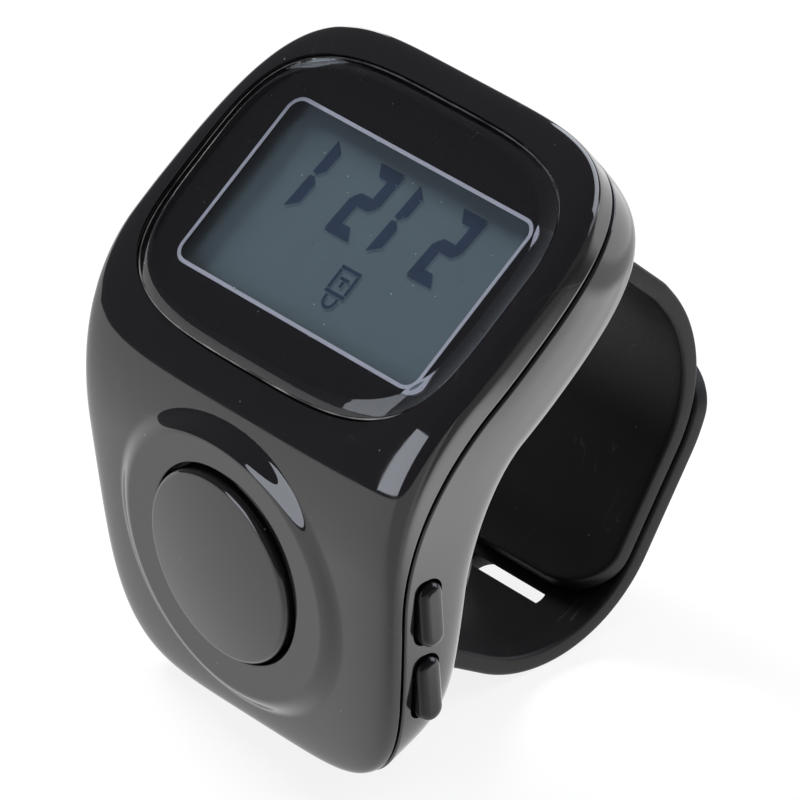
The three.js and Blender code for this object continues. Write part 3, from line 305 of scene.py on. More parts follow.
def skin_points(middle, target, inset, x, q, share):
    half = middle.total / 2
    distance = half + q * (half - inset)
    station = middle.station(distance)
    base, goal = middle.point(station), target.point(station)
    return np.stack([
        (half_width(distance) - inset) * x,
        base[0] + share * (goal[0] - base[0]),
        base[1] + share * (goal[1] - base[1]),
    ], axis=1)


def flat_rings(middle, inset, outline):
    """Rings of the parting surface itself, from the edge inwards, without the edge's own."""
    x, q = outline
    none = np.zeros(len(x))
    rings = [
        skin_points(middle, middle, inset, x * rho, q * rho, none)
        for rho in (0.975, 0.93, 0.85, 0.72, 0.55, 0.35, 0.15)
    ]
    return rings, skin_points(middle, middle, inset, *np.zeros((3, 1)))


def closed_faces(rings, count):
    """Faces of a form whose first and last vertex are its poles, with rings between them."""
    faces = []
    last = 1 + rings * count
    for i in range(count):
        j = (i + 1) % count
        faces.append((0, 1 + i, 1 + j))
        faces.append((last, last - count + j, last - count + i))
    for ring in range(rings - 1):
        a = 1 + ring * count
        for i in range(count):
            j = (i + 1) % count
            faces.append((a + i, a + count + i, a + count + j, a + j))
    return faces


def read(items, key, width=1, kind=float):
    """One property of all the vertices, faces or corners of a mesh, as an array."""
    values = np.zeros(len(items) * width, kind)
    items.foreach_get(key, values)
    return values.reshape(-1, width) if width > 1 else values


def set_slots(mesh, slots):
    mesh.polygons.foreach_set("material_index", np.array(slots, np.int32))


def new_mesh(points, faces, slot=0):
    """A mesh with its normals outwards and two slots: 0 is the skin, 1 is a cut or the inside."""
    mesh = bpy.data.meshes.new("form")
    mesh.from_pydata([tuple(p) for p in points], [], faces)
    for material in (None, None):
        mesh.materials.append(material)
    set_slots(mesh, [slot] * len(faces))
    mesh.calc_loop_triangles()
    corners = read(mesh.vertices, "co", 3)[read(mesh.loop_triangles, "vertices", 3, np.int32)]
    a, b, c = (corners[:, i] for i in range(3))
    if np.einsum("ij,ij->i", a, np.cross(b, c)).sum() < 0:
        mesh.flip_normals()
    return mesh


def loft(rings, slot=0, matrix=None):
    """A closed form over rings of points, each end filled from its middle."""
    rings = [np.asarray(ring, float) for ring in rings]
    count = len(rings[0])
    first, last = rings[0].mean(axis=0), rings[-1].mean(axis=0)
    points = np.concatenate([[first], *rings, [last]])
    if matrix is not None:
        points = moved(points, matrix)
    return new_mesh(points, closed_faces(len(rings), count), slot)


def pillow(middle, top, bottom, inset, powers, count, rings, lip=0):
    """A closed pillow between lines. A side without a line is flat. Also counts its top rings."""
    outline = rim(middle, inset, count)
    halves = []
    for line, power in zip((top, bottom), powers):
        if line is None:
            back, centre = flat_rings(middle, inset, outline)
            halves.append((centre, back[::-1]))
        else:
            centre, points = cap_rings(middle, line, power, inset, outline, *rings, lip)
            halves.append((centre, points))
    (first, upper), (last, lower) = halves
    shared = 1 if top and bottom else 0
    rows = upper + lower[::-1][shared:]
    points = np.concatenate([first, *rows, last])
    return points, closed_faces(len(rows), count), len(upper)


def lens_outline(grow, z=0, count=256):
    x, y = superellipse(2 * math.pi * (np.arange(count) + 0.5) / count, LENS_POWER)
    return np.stack(
        [(LENS_HALF_WIDTH + grow) * x, (LENS_HALF_LENGTH + grow) * y, np.full(count, z)], axis=1)


def circle(radius, z, count=96, x=0, y=0):
    angle = 2 * math.pi * (np.arange(count) + 0.5) / count
    return np.stack([
        x + radius * np.cos(angle), y + radius * np.sin(angle), np.full(count, z)
    ], axis=1)


def arc(x, y, radius, angles):
    """Pairs at angles round a middle."""
    return [(x + radius * math.cos(a), y + radius * math.sin(a)) for a in angles]


def rounded(half_x, half_y, corner, z, steps=8):
    """A rectangle with rounded corners."""
    points = []
    for i, (sx, sy) in enumerate(((1, 1), (-1, 1), (-1, -1), (1, -1))):
        points += arc(sx * (half_x - corner), sy * (half_y - corner), corner,
                      math.pi / 2 * (i + np.arange(steps + 1) / steps))
    return np.array([(x, y, z) for x, y in points])


def disc(radius, low, high, count=96, x=0, y=0, slot=1, matrix=None):
    rings = [circle(radius, low, count, x, y), circle(radius, high, count, x, y)]
    return loft(rings, slot, matrix)


def at_level(ring, z):
    level = np.array(ring, float)
    level[:, 2] = z
    return level


def slab(ring, low, high, slot=1, matrix=None):
    return loft([at_level(ring, z) for z in (low, high)], slot, matrix)


def block(low_x, high_x, low_y, high_y, low_z, high_z, slot=1, matrix=None):
    ring = [(low_x, low_y, 0), (high_x, low_y, 0), (high_x, high_y, 0), (low_x, high_y, 0)]
    return slab(ring, low_z, high_z, slot, matrix)


def turned(profile, count=128, slot=0, matrix=None):
    """A turned form about z through radius and height pairs."""
    return loft([circle(radius, z, count) for radius, z in profile], slot, matrix)


def stadium(length, width, steps=24):
    """Round-ended outline, long along y, as points of x and y."""
    reach, angles = (length - width) / 2, np.linspace(0, math.pi, steps + 1)
    return np.array([
        *arc(0, reach, width / 2, angles), *arc(0, -reach, width / 2, angles + math.pi)])


def combine(base, operation, others):
    """The base form after a boolean with each of the others, which are used up."""
    holder = bpy.data.objects.new("holder", base)
    bpy.context.scene.collection.objects.link(holder)
    tools = []
    for mesh in others:
        tool = bpy.data.objects.new("tool", mesh)
        bpy.context.scene.collection.objects.link(tool)
        modifier = holder.modifiers.new("form", "BOOLEAN")
        modifier.solver = "MANIFOLD"
        modifier.operation = operation
        modifier.object = tool
        tools.append(tool)
    graph = bpy.context.evaluated_depsgraph_get()
    result = bpy.data.meshes.new_from_object(holder.evaluated_get(graph))
    for spent in (holder, *tools):
        bpy.data.objects.remove(spent)
    for mesh in (base, *others):
        bpy.data.meshes.remove(mesh)
    return result


def finish_edges(mesh, degrees=40):
    """The mesh with smooth shading, and sharp edges where faces meet at more than an angle."""
    mesh.polygons.foreach_set("use_smooth", np.ones(len(mesh.polygons), bool))
    mesh.set_sharp_from_angle(angle=math.radians(degrees))
    return mesh


def keep_skin(mesh, points, faces, normals):
    """Gives the faces of the uncut skin the normals that the skin had before any cut."""
    finish_edges(mesh, SHELL_SHARP)
    triangles = split(faces)
    tree = BVHTree.FromPolygons([tuple(p) for p in points], triangles.tolist())
    spots = read(mesh.vertices, "co", 3)
    own = read(mesh.polygons, "material_index", kind=np.int32) == 0
    on_skin = np.repeat(own, read(mesh.polygons, "loop_total", kind=np.int32))
    corners = read(mesh.loops, "vertex_index", kind=np.int32)
    wanted = np.unique(corners[on_skin])
    hits = np.array([tree.find_nearest(spots[i])[2] for i in wanted])
    shares = barycentric(spots[wanted], *(points[triangles[hits][:, i]] for i in range(3)))
    mixed = np.einsum("ij,ijk->ik", shares, normals[triangles[hits]])
    mixed /= np.linalg.norm(mixed, axis=1, keepdims=True)
    by_vertex = np.zeros((len(spots), 3))
    by_vertex[wanted] = mixed
    loops = read(mesh.corner_normals, "vector", 3)
    loops[on_skin] = by_vertex[corners[on_skin]]
    mesh.normals_split_custom_set(loops.tolist())


def piece(name, mesh, body, materials, replaces=(), matrix=CASE):
    """Puts a form into the scene as a piece of the part."""
    mesh.name = name
    mesh.materials.clear()
    for material in materials:
        mesh.materials.append(material)
    mesh.transform(matrix)
    thing = bpy.data.objects.new(name, mesh)
    bpy.context.scene.collection.objects.link(thing)
    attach(thing, body)
    if replaces:
        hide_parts(*replaces)


# ---------------------------------------------------------------- materials

class Nodes:
    """Short calls for a material's node tree. Pattern sizes are in millimetres."""

    def __init__(self, name):
        self.material = bpy.data.materials.new(name)
        self.material.use_nodes = True
        self.tree = self.material.node_tree
        self.shader = self.tree.nodes["Principled BSDF"]
        self.output = self.tree.nodes["Material Output"]
        self.place = self.tree.nodes.new("ShaderNodeTexCoord").outputs["Object"]

    def node(self, kind, **values):
        made = self.tree.nodes.new("ShaderNode" + kind)
        for key, value in values.items():
            setattr(made, key, value)
        return made

    def link(self, source, socket):
        self.tree.links.new(source, socket)

    def give(self, socket, value):
        """A number, a colour or the output of another node goes into a socket."""
        if isinstance(value, (int, float)):
            socket.default_value = value
        elif isinstance(value, tuple):
            socket.default_value = (*value, 1) if socket.type == "RGBA" else value
        else:
            self.link(value, socket)

    def fill(self, made, **values):
        for key, value in values.items():
            self.give(made.inputs[key.replace("_", " ")], value)
        return made

    def scaled(self, stretch=(1, 1, 1), turn=(0, 0, 0)):
        scale = tuple(part / MM for part in stretch)
        made = self.fill(self.node("Mapping"), Scale=scale, Rotation=turn, Vector=self.place)
        return made.outputs["Vector"]

    def noise(self, size, detail=3, stretch=(1, 1, 1), turn=(0, 0, 0), roughness=0.5):
        made = self.fill(self.node("TexNoise"), Scale=1 / size, Detail=detail,
                         Roughness=roughness, Vector=self.scaled(stretch, turn))
        return made.outputs["Fac"]

    def cells(self, size, turn=(0, 0, 0), **kind):
        return self.fill(self.node("TexVoronoi", **kind), Scale=1 / size,
                         Vector=self.scaled(turn=turn))

    def mapped(self, value, numbers, **kind):
        ends = dict(zip(("From_Min", "From_Max", "To_Min", "To_Max"), numbers))
        return self.fill(self.node("MapRange", **kind), Value=value, **ends).outputs["Result"]

    def ramp(self, value, low, high, start=0.0, end=1.0):
        return self.mapped(value, (low, high, start, end), clamp=True)

    def ease(self, value, *numbers):
        return self.mapped(value, numbers, interpolation_type="SMOOTHSTEP")

    def maths(self, operation, a, b):
        made = self.node("Math", operation=operation)
        self.give(made.inputs[0], a)
        self.give(made.inputs[1], b)
        return made.outputs["Value"]

    def colours(self, value, first, second):
        made = self.fill(self.node("MixRGB"), Fac=value, Color1=first, Color2=second)
        return made.outputs["Color"]

    def bump(self, height, strength, depth, **below):
        made = self.fill(self.node("Bump"), Height=height, Strength=strength,
                         Distance=depth * MM, **below)
        return made.outputs["Normal"]

    def blended(self, share, first, second):
        """The surface is the first shader where share is 0 and the second where it is 1."""
        mix = self.node("MixShader")
        for source, socket in zip((share, first, second), mix.inputs):
            self.link(source, socket)
        self.link(mix.outputs["Shader"], self.output.inputs["Surface"])

    def specks(self, spacing, size, share, seed):
        """1 on small round specks that lie about spacing apart, 0 elsewhere."""
        cells = self.cells(spacing, turn=(seed, 2 * seed, 3 * seed))
        near = self.ramp(cells.outputs["Distance"], size * 0.6 / spacing, size / spacing, 1, 0)
        chosen = self.fill(self.node("SeparateColor"), Color=cells.outputs["Color"])
        picked = self.maths("LESS_THAN", chosen.outputs["Red"], share)
        return self.maths("MULTIPLY", near, picked)

    def hairs(self, spacing, width, share, seed):
        """1 on sparse hairline scratches."""
        noise = self.noise(spacing, 1, stretch=(1, 0.12, 0.4), turn=(seed, seed * 1.7, seed * 2.3))
        line = self.maths("ABSOLUTE", self.maths("SUBTRACT", noise, 0.5), 0)
        thin = self.ramp(line, width * 0.4, width, 1, 0)
        patch = self.ramp(self.noise(spacing * 1.6, 0, turn=(seed * 3, 0, seed)),
                          0.5 + share, 0.54 + share, 0, 1)
        return self.maths("MULTIPLY", thin, patch)

    def set(self, **values):
        self.fill(self.shader, **values)


def srgb(*values):
    """Linear colour of sRGB values from 0 to 255."""
    return tuple(
        v / 255 / 12.92 if v <= 10 else ((v / 255 + 0.055) / 1.055) ** 2.4 for v in values
    )


def gloss_plastic(name, colour, roughness, seed, ior=1.7):
    """Moulded gloss plastic with a breath of dust, faint smears and hairline scratches."""
    n = Nodes(name)
    dust = n.specks(1.7, 0.07, 0.45, seed)
    fine = n.specks(0.8, 0.03, 0.3, seed + 1)
    hairs = n.hairs(3.2, 0.003, 0.11, seed + 2)
    marks = n.maths("MAXIMUM", dust, n.maths("MAXIMUM", fine, n.maths("MULTIPLY", hairs, 0.1)))
    tint = n.colours(n.noise(4, 2), colour, tuple(c * 1.35 for c in colour))
    n.set(Base_Color=n.colours(n.maths("MULTIPLY", marks, 0.7), tint, srgb(120, 118, 114)))
    smears = n.ramp(n.noise(2.4, 4, roughness=0.6), 0.4, 0.75, roughness, roughness + 0.05)
    n.set(Roughness=n.maths("ADD", smears, n.maths("MULTIPLY", marks, 0.35)), IOR=ior)
    waves = n.bump(n.noise(5, 1), 0.05, 0.05)
    n.set(Normal=n.bump(marks, 0.25, 0.02, Normal=waves))
    return n.material


def seam_dust(name):
    """Dust that lies in patches in the seam round the lens."""
    n = Nodes(name)
    patches = n.ramp(n.noise(2.3, 4, roughness=0.6), 0.36, 0.68)
    n.set(Base_Color=n.colours(patches, srgb(52, 51, 52), srgb(142, 139, 137)), Roughness=0.9)
    n.set(Normal=n.bump(n.noise(0.08, 2), 0.5, 0.02))
    return n.material


def moulded_rubber(name, seed):
    """Satin black rubber with a fine grain, dust and a few pale rub marks."""
    n = Nodes(name)
    grain = n.noise(0.16, 3, roughness=0.7)
    broad = n.noise(3.5, 3)
    dust = n.maths("MAXIMUM", n.specks(1.5, 0.07, 0.5, seed), n.specks(0.7, 0.035, 0.5, seed + 1))
    rubs = n.maths("MULTIPLY", n.hairs(1.6, 0.008, 0.12, seed + 2), 0.1)
    colour = n.colours(broad, srgb(18, 17, 18), srgb(27, 25, 26))
    n.set(Base_Color=n.colours(n.maths("MAXIMUM", n.maths("MULTIPLY", dust, 0.5), rubs), colour,
                               srgb(112, 108, 104)))
    n.set(Roughness=n.ramp(grain, 0.3, 0.7, 0.42, 0.56), IOR=1.33)
    n.set(Normal=n.bump(grain, 0.16, 0.03))
    return n.material


def grained(n, fine, broad, colour, spread, roughness, bump, **values):
    """Colour that darkens in broad clouds by a spread, and gloss and bump from a fine grain."""
    dark = tuple(c * (1 - spread) for c in colour)
    n.set(Base_Color=n.colours(broad, dark, colour), **values)
    n.set(Roughness=n.ramp(fine, 0.3, 0.7, *roughness), Normal=n.bump(fine, *bump))
    return n.material


def plain_plastic(name, colour, roughness, seed, grain=0.2, ior=1.5):
    """Lightly grained material for small and inner pieces."""
    n = Nodes(name)
    return grained(n, n.noise(grain, 3), n.noise(grain * 12, 2, turn=(seed, 0, seed)), colour,
                   0.15, (roughness - 0.04, roughness + 0.06), (0.12, 0.02), IOR=ior)


def brushed_metal(name, colour, roughness, seed):
    """Metal with fine lines all one way."""
    n = Nodes(name)
    lines = n.noise(0.12, 2, stretch=(1, 8, 8), turn=(0, 0, seed))
    return grained(n, lines, n.noise(1.4, 3), colour, 0.2, (roughness, roughness + 0.12),
                   (0.1, 0.01), Metallic=1.0)


def board_laminate(name):
    """Solder mask with copper tracks just showing under it."""
    n = Nodes(name)
    tracks = n.cells(1.1, feature="DISTANCE_TO_EDGE")
    lines = n.ramp(tracks.outputs["Distance"], 0.05, 0.09, 1, 0)
    n.set(Base_Color=n.colours(n.maths("MULTIPLY", lines, 0.6), srgb(20, 72, 40),
                               srgb(46, 112, 62)))
    n.set(Roughness=n.ramp(n.noise(0.3, 2), 0.3, 0.7, 0.32, 0.45), IOR=1.5)
    n.set(Normal=n.bump(lines, 0.3, 0.03))
    return n.material


def clear_lens(name):
    """Clear acrylic. Rays from lamps pass it straight, so that the display under it is lit."""
    n = Nodes(name)
    dust = n.maths("MAXIMUM", n.specks(1.9, 0.075, 0.7, 11), n.specks(0.9, 0.04, 0.4, 12))
    hairs = n.hairs(2.6, 0.003, 0.12, 13)
    marks = n.maths("MAXIMUM", dust, n.maths("MULTIPLY", hairs, 0.25))
    tint = (0.86, 0.88, 0.9)
    n.set(Base_Color=tint, IOR=1.49, Transmission_Weight=1.0)
    n.set(Roughness=n.maths("ADD", n.maths("MULTIPLY", marks, 0.5), 0.015))
    n.set(Normal=n.bump(marks, 0.25, 0.02))
    clear = n.fill(n.node("BsdfTransparent"), Color=tint)
    n.blended(n.node("LightPath").outputs["Is Shadow Ray"], n.shader.outputs["BSDF"],
              clear.outputs["BSDF"])
    return n.material


def display_film(name, colour, spread=0.12):
    """Grey polarising film of the display, a little uneven."""
    n = Nodes(name)
    return grained(n, n.noise(0.09, 2), n.noise(9, 2), colour, spread, (0.3, 0.4), (0.05, 0.01),
                   IOR=1.45)


black_gloss = gloss_plastic("black_gloss", srgb(17, 15, 17), 0.035, 1)
inner_black = plain_plastic("inner_black", srgb(24, 23, 24), 0.35, 2)
button_gloss = gloss_plastic("button_gloss", srgb(20, 18, 18), 0.06, 5)
side_gloss = gloss_plastic("side_gloss", srgb(16, 15, 16), 0.05, 14, 1.42)
rubber = moulded_rubber("black_rubber", 7)
dark_print = plain_plastic("dark_print", srgb(10, 9, 12), 0.3, 3, 0.1, 1.2)
pale_print = plain_plastic("pale_print", srgb(178, 176, 186), 0.5, 4, 0.02)
film = display_film("display_film", srgb(92, 105, 110))
film_shadow = display_film("display_shadow", srgb(76, 88, 96), 0.05)
segment = display_film("display_segment", srgb(43, 57, 77), 0.2)
lens_clear = clear_lens("lens_clear")
carried = {
    "white_plastic": plain_plastic("white_plastic", srgb(214, 213, 206), 0.4, 6),
    "conductive_rubber": plain_plastic("conductive_rubber", srgb(196, 142, 136), 0.6, 8, 0.1),
    "board_green": board_laminate("board_green"),
    "epoxy_black": plain_plastic("epoxy_black", srgb(20, 20, 21), 0.38, 9, 0.3),
    "ceramic_tan": plain_plastic("ceramic_tan", srgb(184, 156, 116), 0.5, 10, 0.08),
    "flex_film": plain_plastic("flex_film", srgb(178, 108, 40), 0.35, 12, 0.3),
    "spring_steel": brushed_metal("spring_steel", srgb(196, 196, 200), 0.22, 0.4),
    "black_rubber": rubber,
    "display_glass": film,
    "black_gloss": black_gloss,
    "button_gloss": button_gloss,
    "dark_print": dark_print,
    "lens_clear": lens_clear,
}

# ---------------------------------------------------------------- case shells

SCREWS = (
    (-9.8, 8.45, PARTING_LEVEL, None), (9.8, 8.45, PARTING_LEVEL, None),
    (-8.7, -7.3, None, FRONT_IN_CASE), (8.7, -7.3, None, FRONT_IN_CASE),
)


def in_front(y, z):
    offset = np.array([y, z]) - BUTTON_CENTRE
    return -offset @ FRONT_DIRECTION, offset @ FRONT_NORMAL


PARTING_DEPTH = in_front(PARTING_CORNER, PARTING_LEVEL)[1]
FLANGE_TOP = PARTING_DEPTH - GAP
FLANGE_BOTTOM = FLANGE_TOP - FLANGE_THICKNESS


def at_screws(radius, low, high, count=32):
    forms = []
    for x, y, parting, matrix in SCREWS:
        level = PARTING_DEPTH if parting is None else parting
        forms.append(disc(radius, level + low, level + high, count, x, y, 1, matrix))
    return forms


def skin_normals(points, faces):
    """Vertex normals of a smooth skin by itself."""
    mesh = new_mesh(points, faces)
    normals = read(mesh.vertex_normals, "vector", 3)
    bpy.data.meshes.remove(mesh)
    return normals


def mound_share(x, y):
    """0 on the level top of the ring round the front button, 1 on the skin outside it."""
    radius = math.hypot(x, y)
    upper = max(0.0, y / radius) ** 4
    lower_left = max(0.0, np.dot(MOUND_LOWER_LEFT, (x, y)) / radius) ** 2
    outer, inner = (size + above * upper + below * lower_left
                    for size, above, below in (MOUND_OUTER, MOUND_INNER))
    reach = min(max((radius - inner) / (outer - inner), 0), 1)
    return reach * reach * (3 - 2 * reach)


def build_mound(points, faces, normals, count=MOUND_POINTS):
    """The ring that rises round the front button, with the rounded edge of the button's hole.

    Its top is the skin of the shell, lifted to one level round the hole. Also gives that top
    as points, faces and normals.
    """
    turn = np.array(FRONT_IN_CASE)[:3, :3]
    local, local_normals = moved(points, FRONT_IN_CASE.inverted()), normals @ turn
    triangles = split(faces)
    tree = BVHTree.FromPolygons([tuple(p) for p in local], triangles.tolist())
    level_to = MOUND_SHOULDER + MOUND_INNER[1]
    radii = [*np.linspace(BUTTON_HOLE_RADIUS + MOUND_EDGE, level_to, 6),
             *np.linspace(level_to, MOUND_RADIUS, 44)[1:]]
    step = 1e-5
    top, top_normals = [], []
    for radius in radii:
        for x, y, _ in circle(radius, 0, count):
            hit, _, index, _ = tree.ray_cast((x, y, 4), (0, 0, -1))
            a, b, c = local[triangles[index]]
            u, v, w = barycentric(np.array([hit]), a[None], b[None], c[None])[0]
            base = np.array([u, v, w]) @ local_normals[triangles[index]]
            keep = mound_share(x, y)
            tilt_x, tilt_y = (
                hit.z * (mound_share(x + dx, y + dy) - keep) / step * base[2]
                for dx, dy in ((step, 0), (0, step))
            )
            normal = np.array([keep * base[0] - tilt_x, keep * base[1] - tilt_y, base[2]])
            top.append((x, y, hit.z * keep))
            top_normals.append(normal / np.linalg.norm(normal))
    rounding = [circle(BUTTON_HOLE_RADIUS + MOUND_LIP * (1 - math.sin(a)),
                       -MOUND_LIP * (1 - math.cos(a)), count)
                for a in np.linspace(math.pi / 2, 0, 7)]
    rows = [circle(BUTTON_HOLE_RADIUS, MOUND_FOOT, count), *rounding,
            *np.array(top).reshape(len(radii), count, 3),
            circle(MOUND_RADIUS, MOUND_FOOT, count)]
    wrapped = ring_faces(len(rows), count)
    first = (1 + len(rounding)) * count
    last = first + len(top)
    mesh = new_mesh(moved(np.concatenate(rows), FRONT_IN_CASE), wrapped, 1)
    on_top = [min(f) >= first and max(f) < last and max(f) - min(f) < 3 * count for f in wrapped]
    set_slots(mesh, [not own for own in on_top])
    skin = [tuple(v - first for v in f) for f, own in zip(wrapped, on_top) if own]
    return mesh, (moved(top, FRONT_IN_CASE), skin, np.array(top_normals) @ turn.T)


def ring_faces(rows, count):
    """Faces of a closed ring whose rows follow each other round its section."""
    return [
        (a * count + i, ((a + 1) % rows) * count + i,
         ((a + 1) % rows) * count + (i + 1) % count, a * count + (i + 1) % count)
        for a in range(rows) for i in range(count)
    ]


def split(faces):
    triangles = []
    for face in faces:
        triangles.append(face[:3])
        if len(face) == 4:
            triangles.append((face[0], face[2], face[3]))
    return np.array(triangles)


def barycentric(spots, a, b, c):
    """Shares of the three corners at spots on their triangles."""
    area = np.cross(b - a, c - a)
    size = np.einsum("ij,ij->i", area, area) + 1e-30
    v = np.clip(np.einsum("ij,ij->i", np.cross(spots - a, c - a), area) / size, 0, 1)
    w = np.clip(np.einsum("ij,ij->i", np.cross(b - a, spots - a), area) / size, 0, 1)
    return np.stack([np.clip(1 - v - w, 0, 1), v, w], axis=1)


def joined(first, *others):
    """One mesh that holds several forms side by side."""
    points, faces, slots = [], [], []
    for mesh in (first, *others):
        start = sum(len(p) for p in points)
        points.append(read(mesh.vertices, "co", 3))
        for polygon in mesh.polygons:
            faces.append([start + v for v in polygon.vertices])
            slots.append(polygon.material_index)
    result = new_mesh(np.concatenate(points), faces)
    set_slots(result, slots)
    return result


def build_top_shell():
    points, faces, upper = pillow(
        parting_line, top_line, None, 0, (TOP_POWERS, None), SHELL_POINTS, TOP_RINGS, SHELL_LIP)
    end = 1 + upper * SHELL_POINTS
    skin = [f for f in faces if max(f) < end]
    normals = skin_normals(points, skin)
    mound, mound_skin = build_mound(points, skin, normals)
    shell = new_mesh(points, faces, 1)
    set_slots(shell, [max(f) >= end for f in faces])
    shell = combine(shell, "UNION", at_screws(BOSS_RADIUS, -BOSS_LENGTH, FINE_GAP))
    front = FRONT_IN_CASE
    cutters = [
        slab(lens_outline(FINE_GAP), LEDGE_TOP, TOP_LEVEL + 3),
        slab(rounded(WINDOW_WIDTH / 2 + WINDOW_MARGIN, WINDOW_LENGTH / 2 + WINDOW_MARGIN,
                     WINDOW_CORNER, 0), PARTING_LEVEL - 2, TOP_LEVEL),
        block(-FRAME_OUTER_X - GAP, FRAME_OUTER_X + GAP, -FRAME_OUTER_Y - GAP,
              FRAME_OUTER_Y + GAP, BOARD_BOTTOM, LEDGE_BOTTOM),
        disc(BUTTON_HOLE_RADIUS, PARTING_DEPTH - 1, BUTTON_PROUD + 1, MOUND_POINTS, matrix=front),
        disc(MOUND_RADIUS, MOUND_FOOT, BUTTON_PROUD + 1, MOUND_POINTS, matrix=front),
        disc(FLANGE_RADIUS + GAP, -BELOW, PARTING_DEPTH + 0.1, matrix=front),
        *at_screws(SCREW_RADIUS + FINE_GAP, -BELOW, SCREW_RADIUS),
    ]
    shell = combine(shell, "DIFFERENCE", cutters)
    shell = joined(shell, mound)
    start = len(points)
    keep_skin(shell, np.concatenate([points, mound_skin[0]]),
              skin + [tuple(v + start for v in f) for f in mound_skin[1]],
              np.concatenate([normals, mound_skin[2]]))
    return shell


def side_wall_x(height, inset=0):
    side_station = parting_line.total + in_front(*parting_line.point(3))[0]
    half = parting_line.total / 2
    distance = side_station - height
    row = (distance - half) / (half - inset)
    edge = (1 - abs(row) ** OUTLINE_POWER) ** (1 / OUTLINE_POWER)
    return float((half_width(distance) - inset) * edge)


WALL_INSIDE = min(side_wall_x(height, SIDE_WALL) for height in SIDE_PLACES.values())
FLANGE_INSIDE = WALL_INSIDE - GAP - SIDE_FLANGE_THICKNESS
SWITCH_FACE = FLANGE_INSIDE - SWITCH_TRAVEL_GAP - FINE_GAP - SWITCH_NUB
SIDE_BOARD_BACK = SWITCH_FACE - SWITCH_BODY - FINE_GAP - SIDE_BOARD_THICKNESS


def side_ring(length, width, x, height):
    """A stadium that stands on the side wall, at x."""
    flat = stadium(length, width)
    return np.stack([np.full(len(flat), x), flat[:, 1] + height, flat[:, 0] - SIDE_DEPTH], axis=1)


def side_form(rings, height, slot=1):
    return loft([side_ring(length, width, x, height) for length, width, x in rings], slot,
                FRONT_IN_CASE)


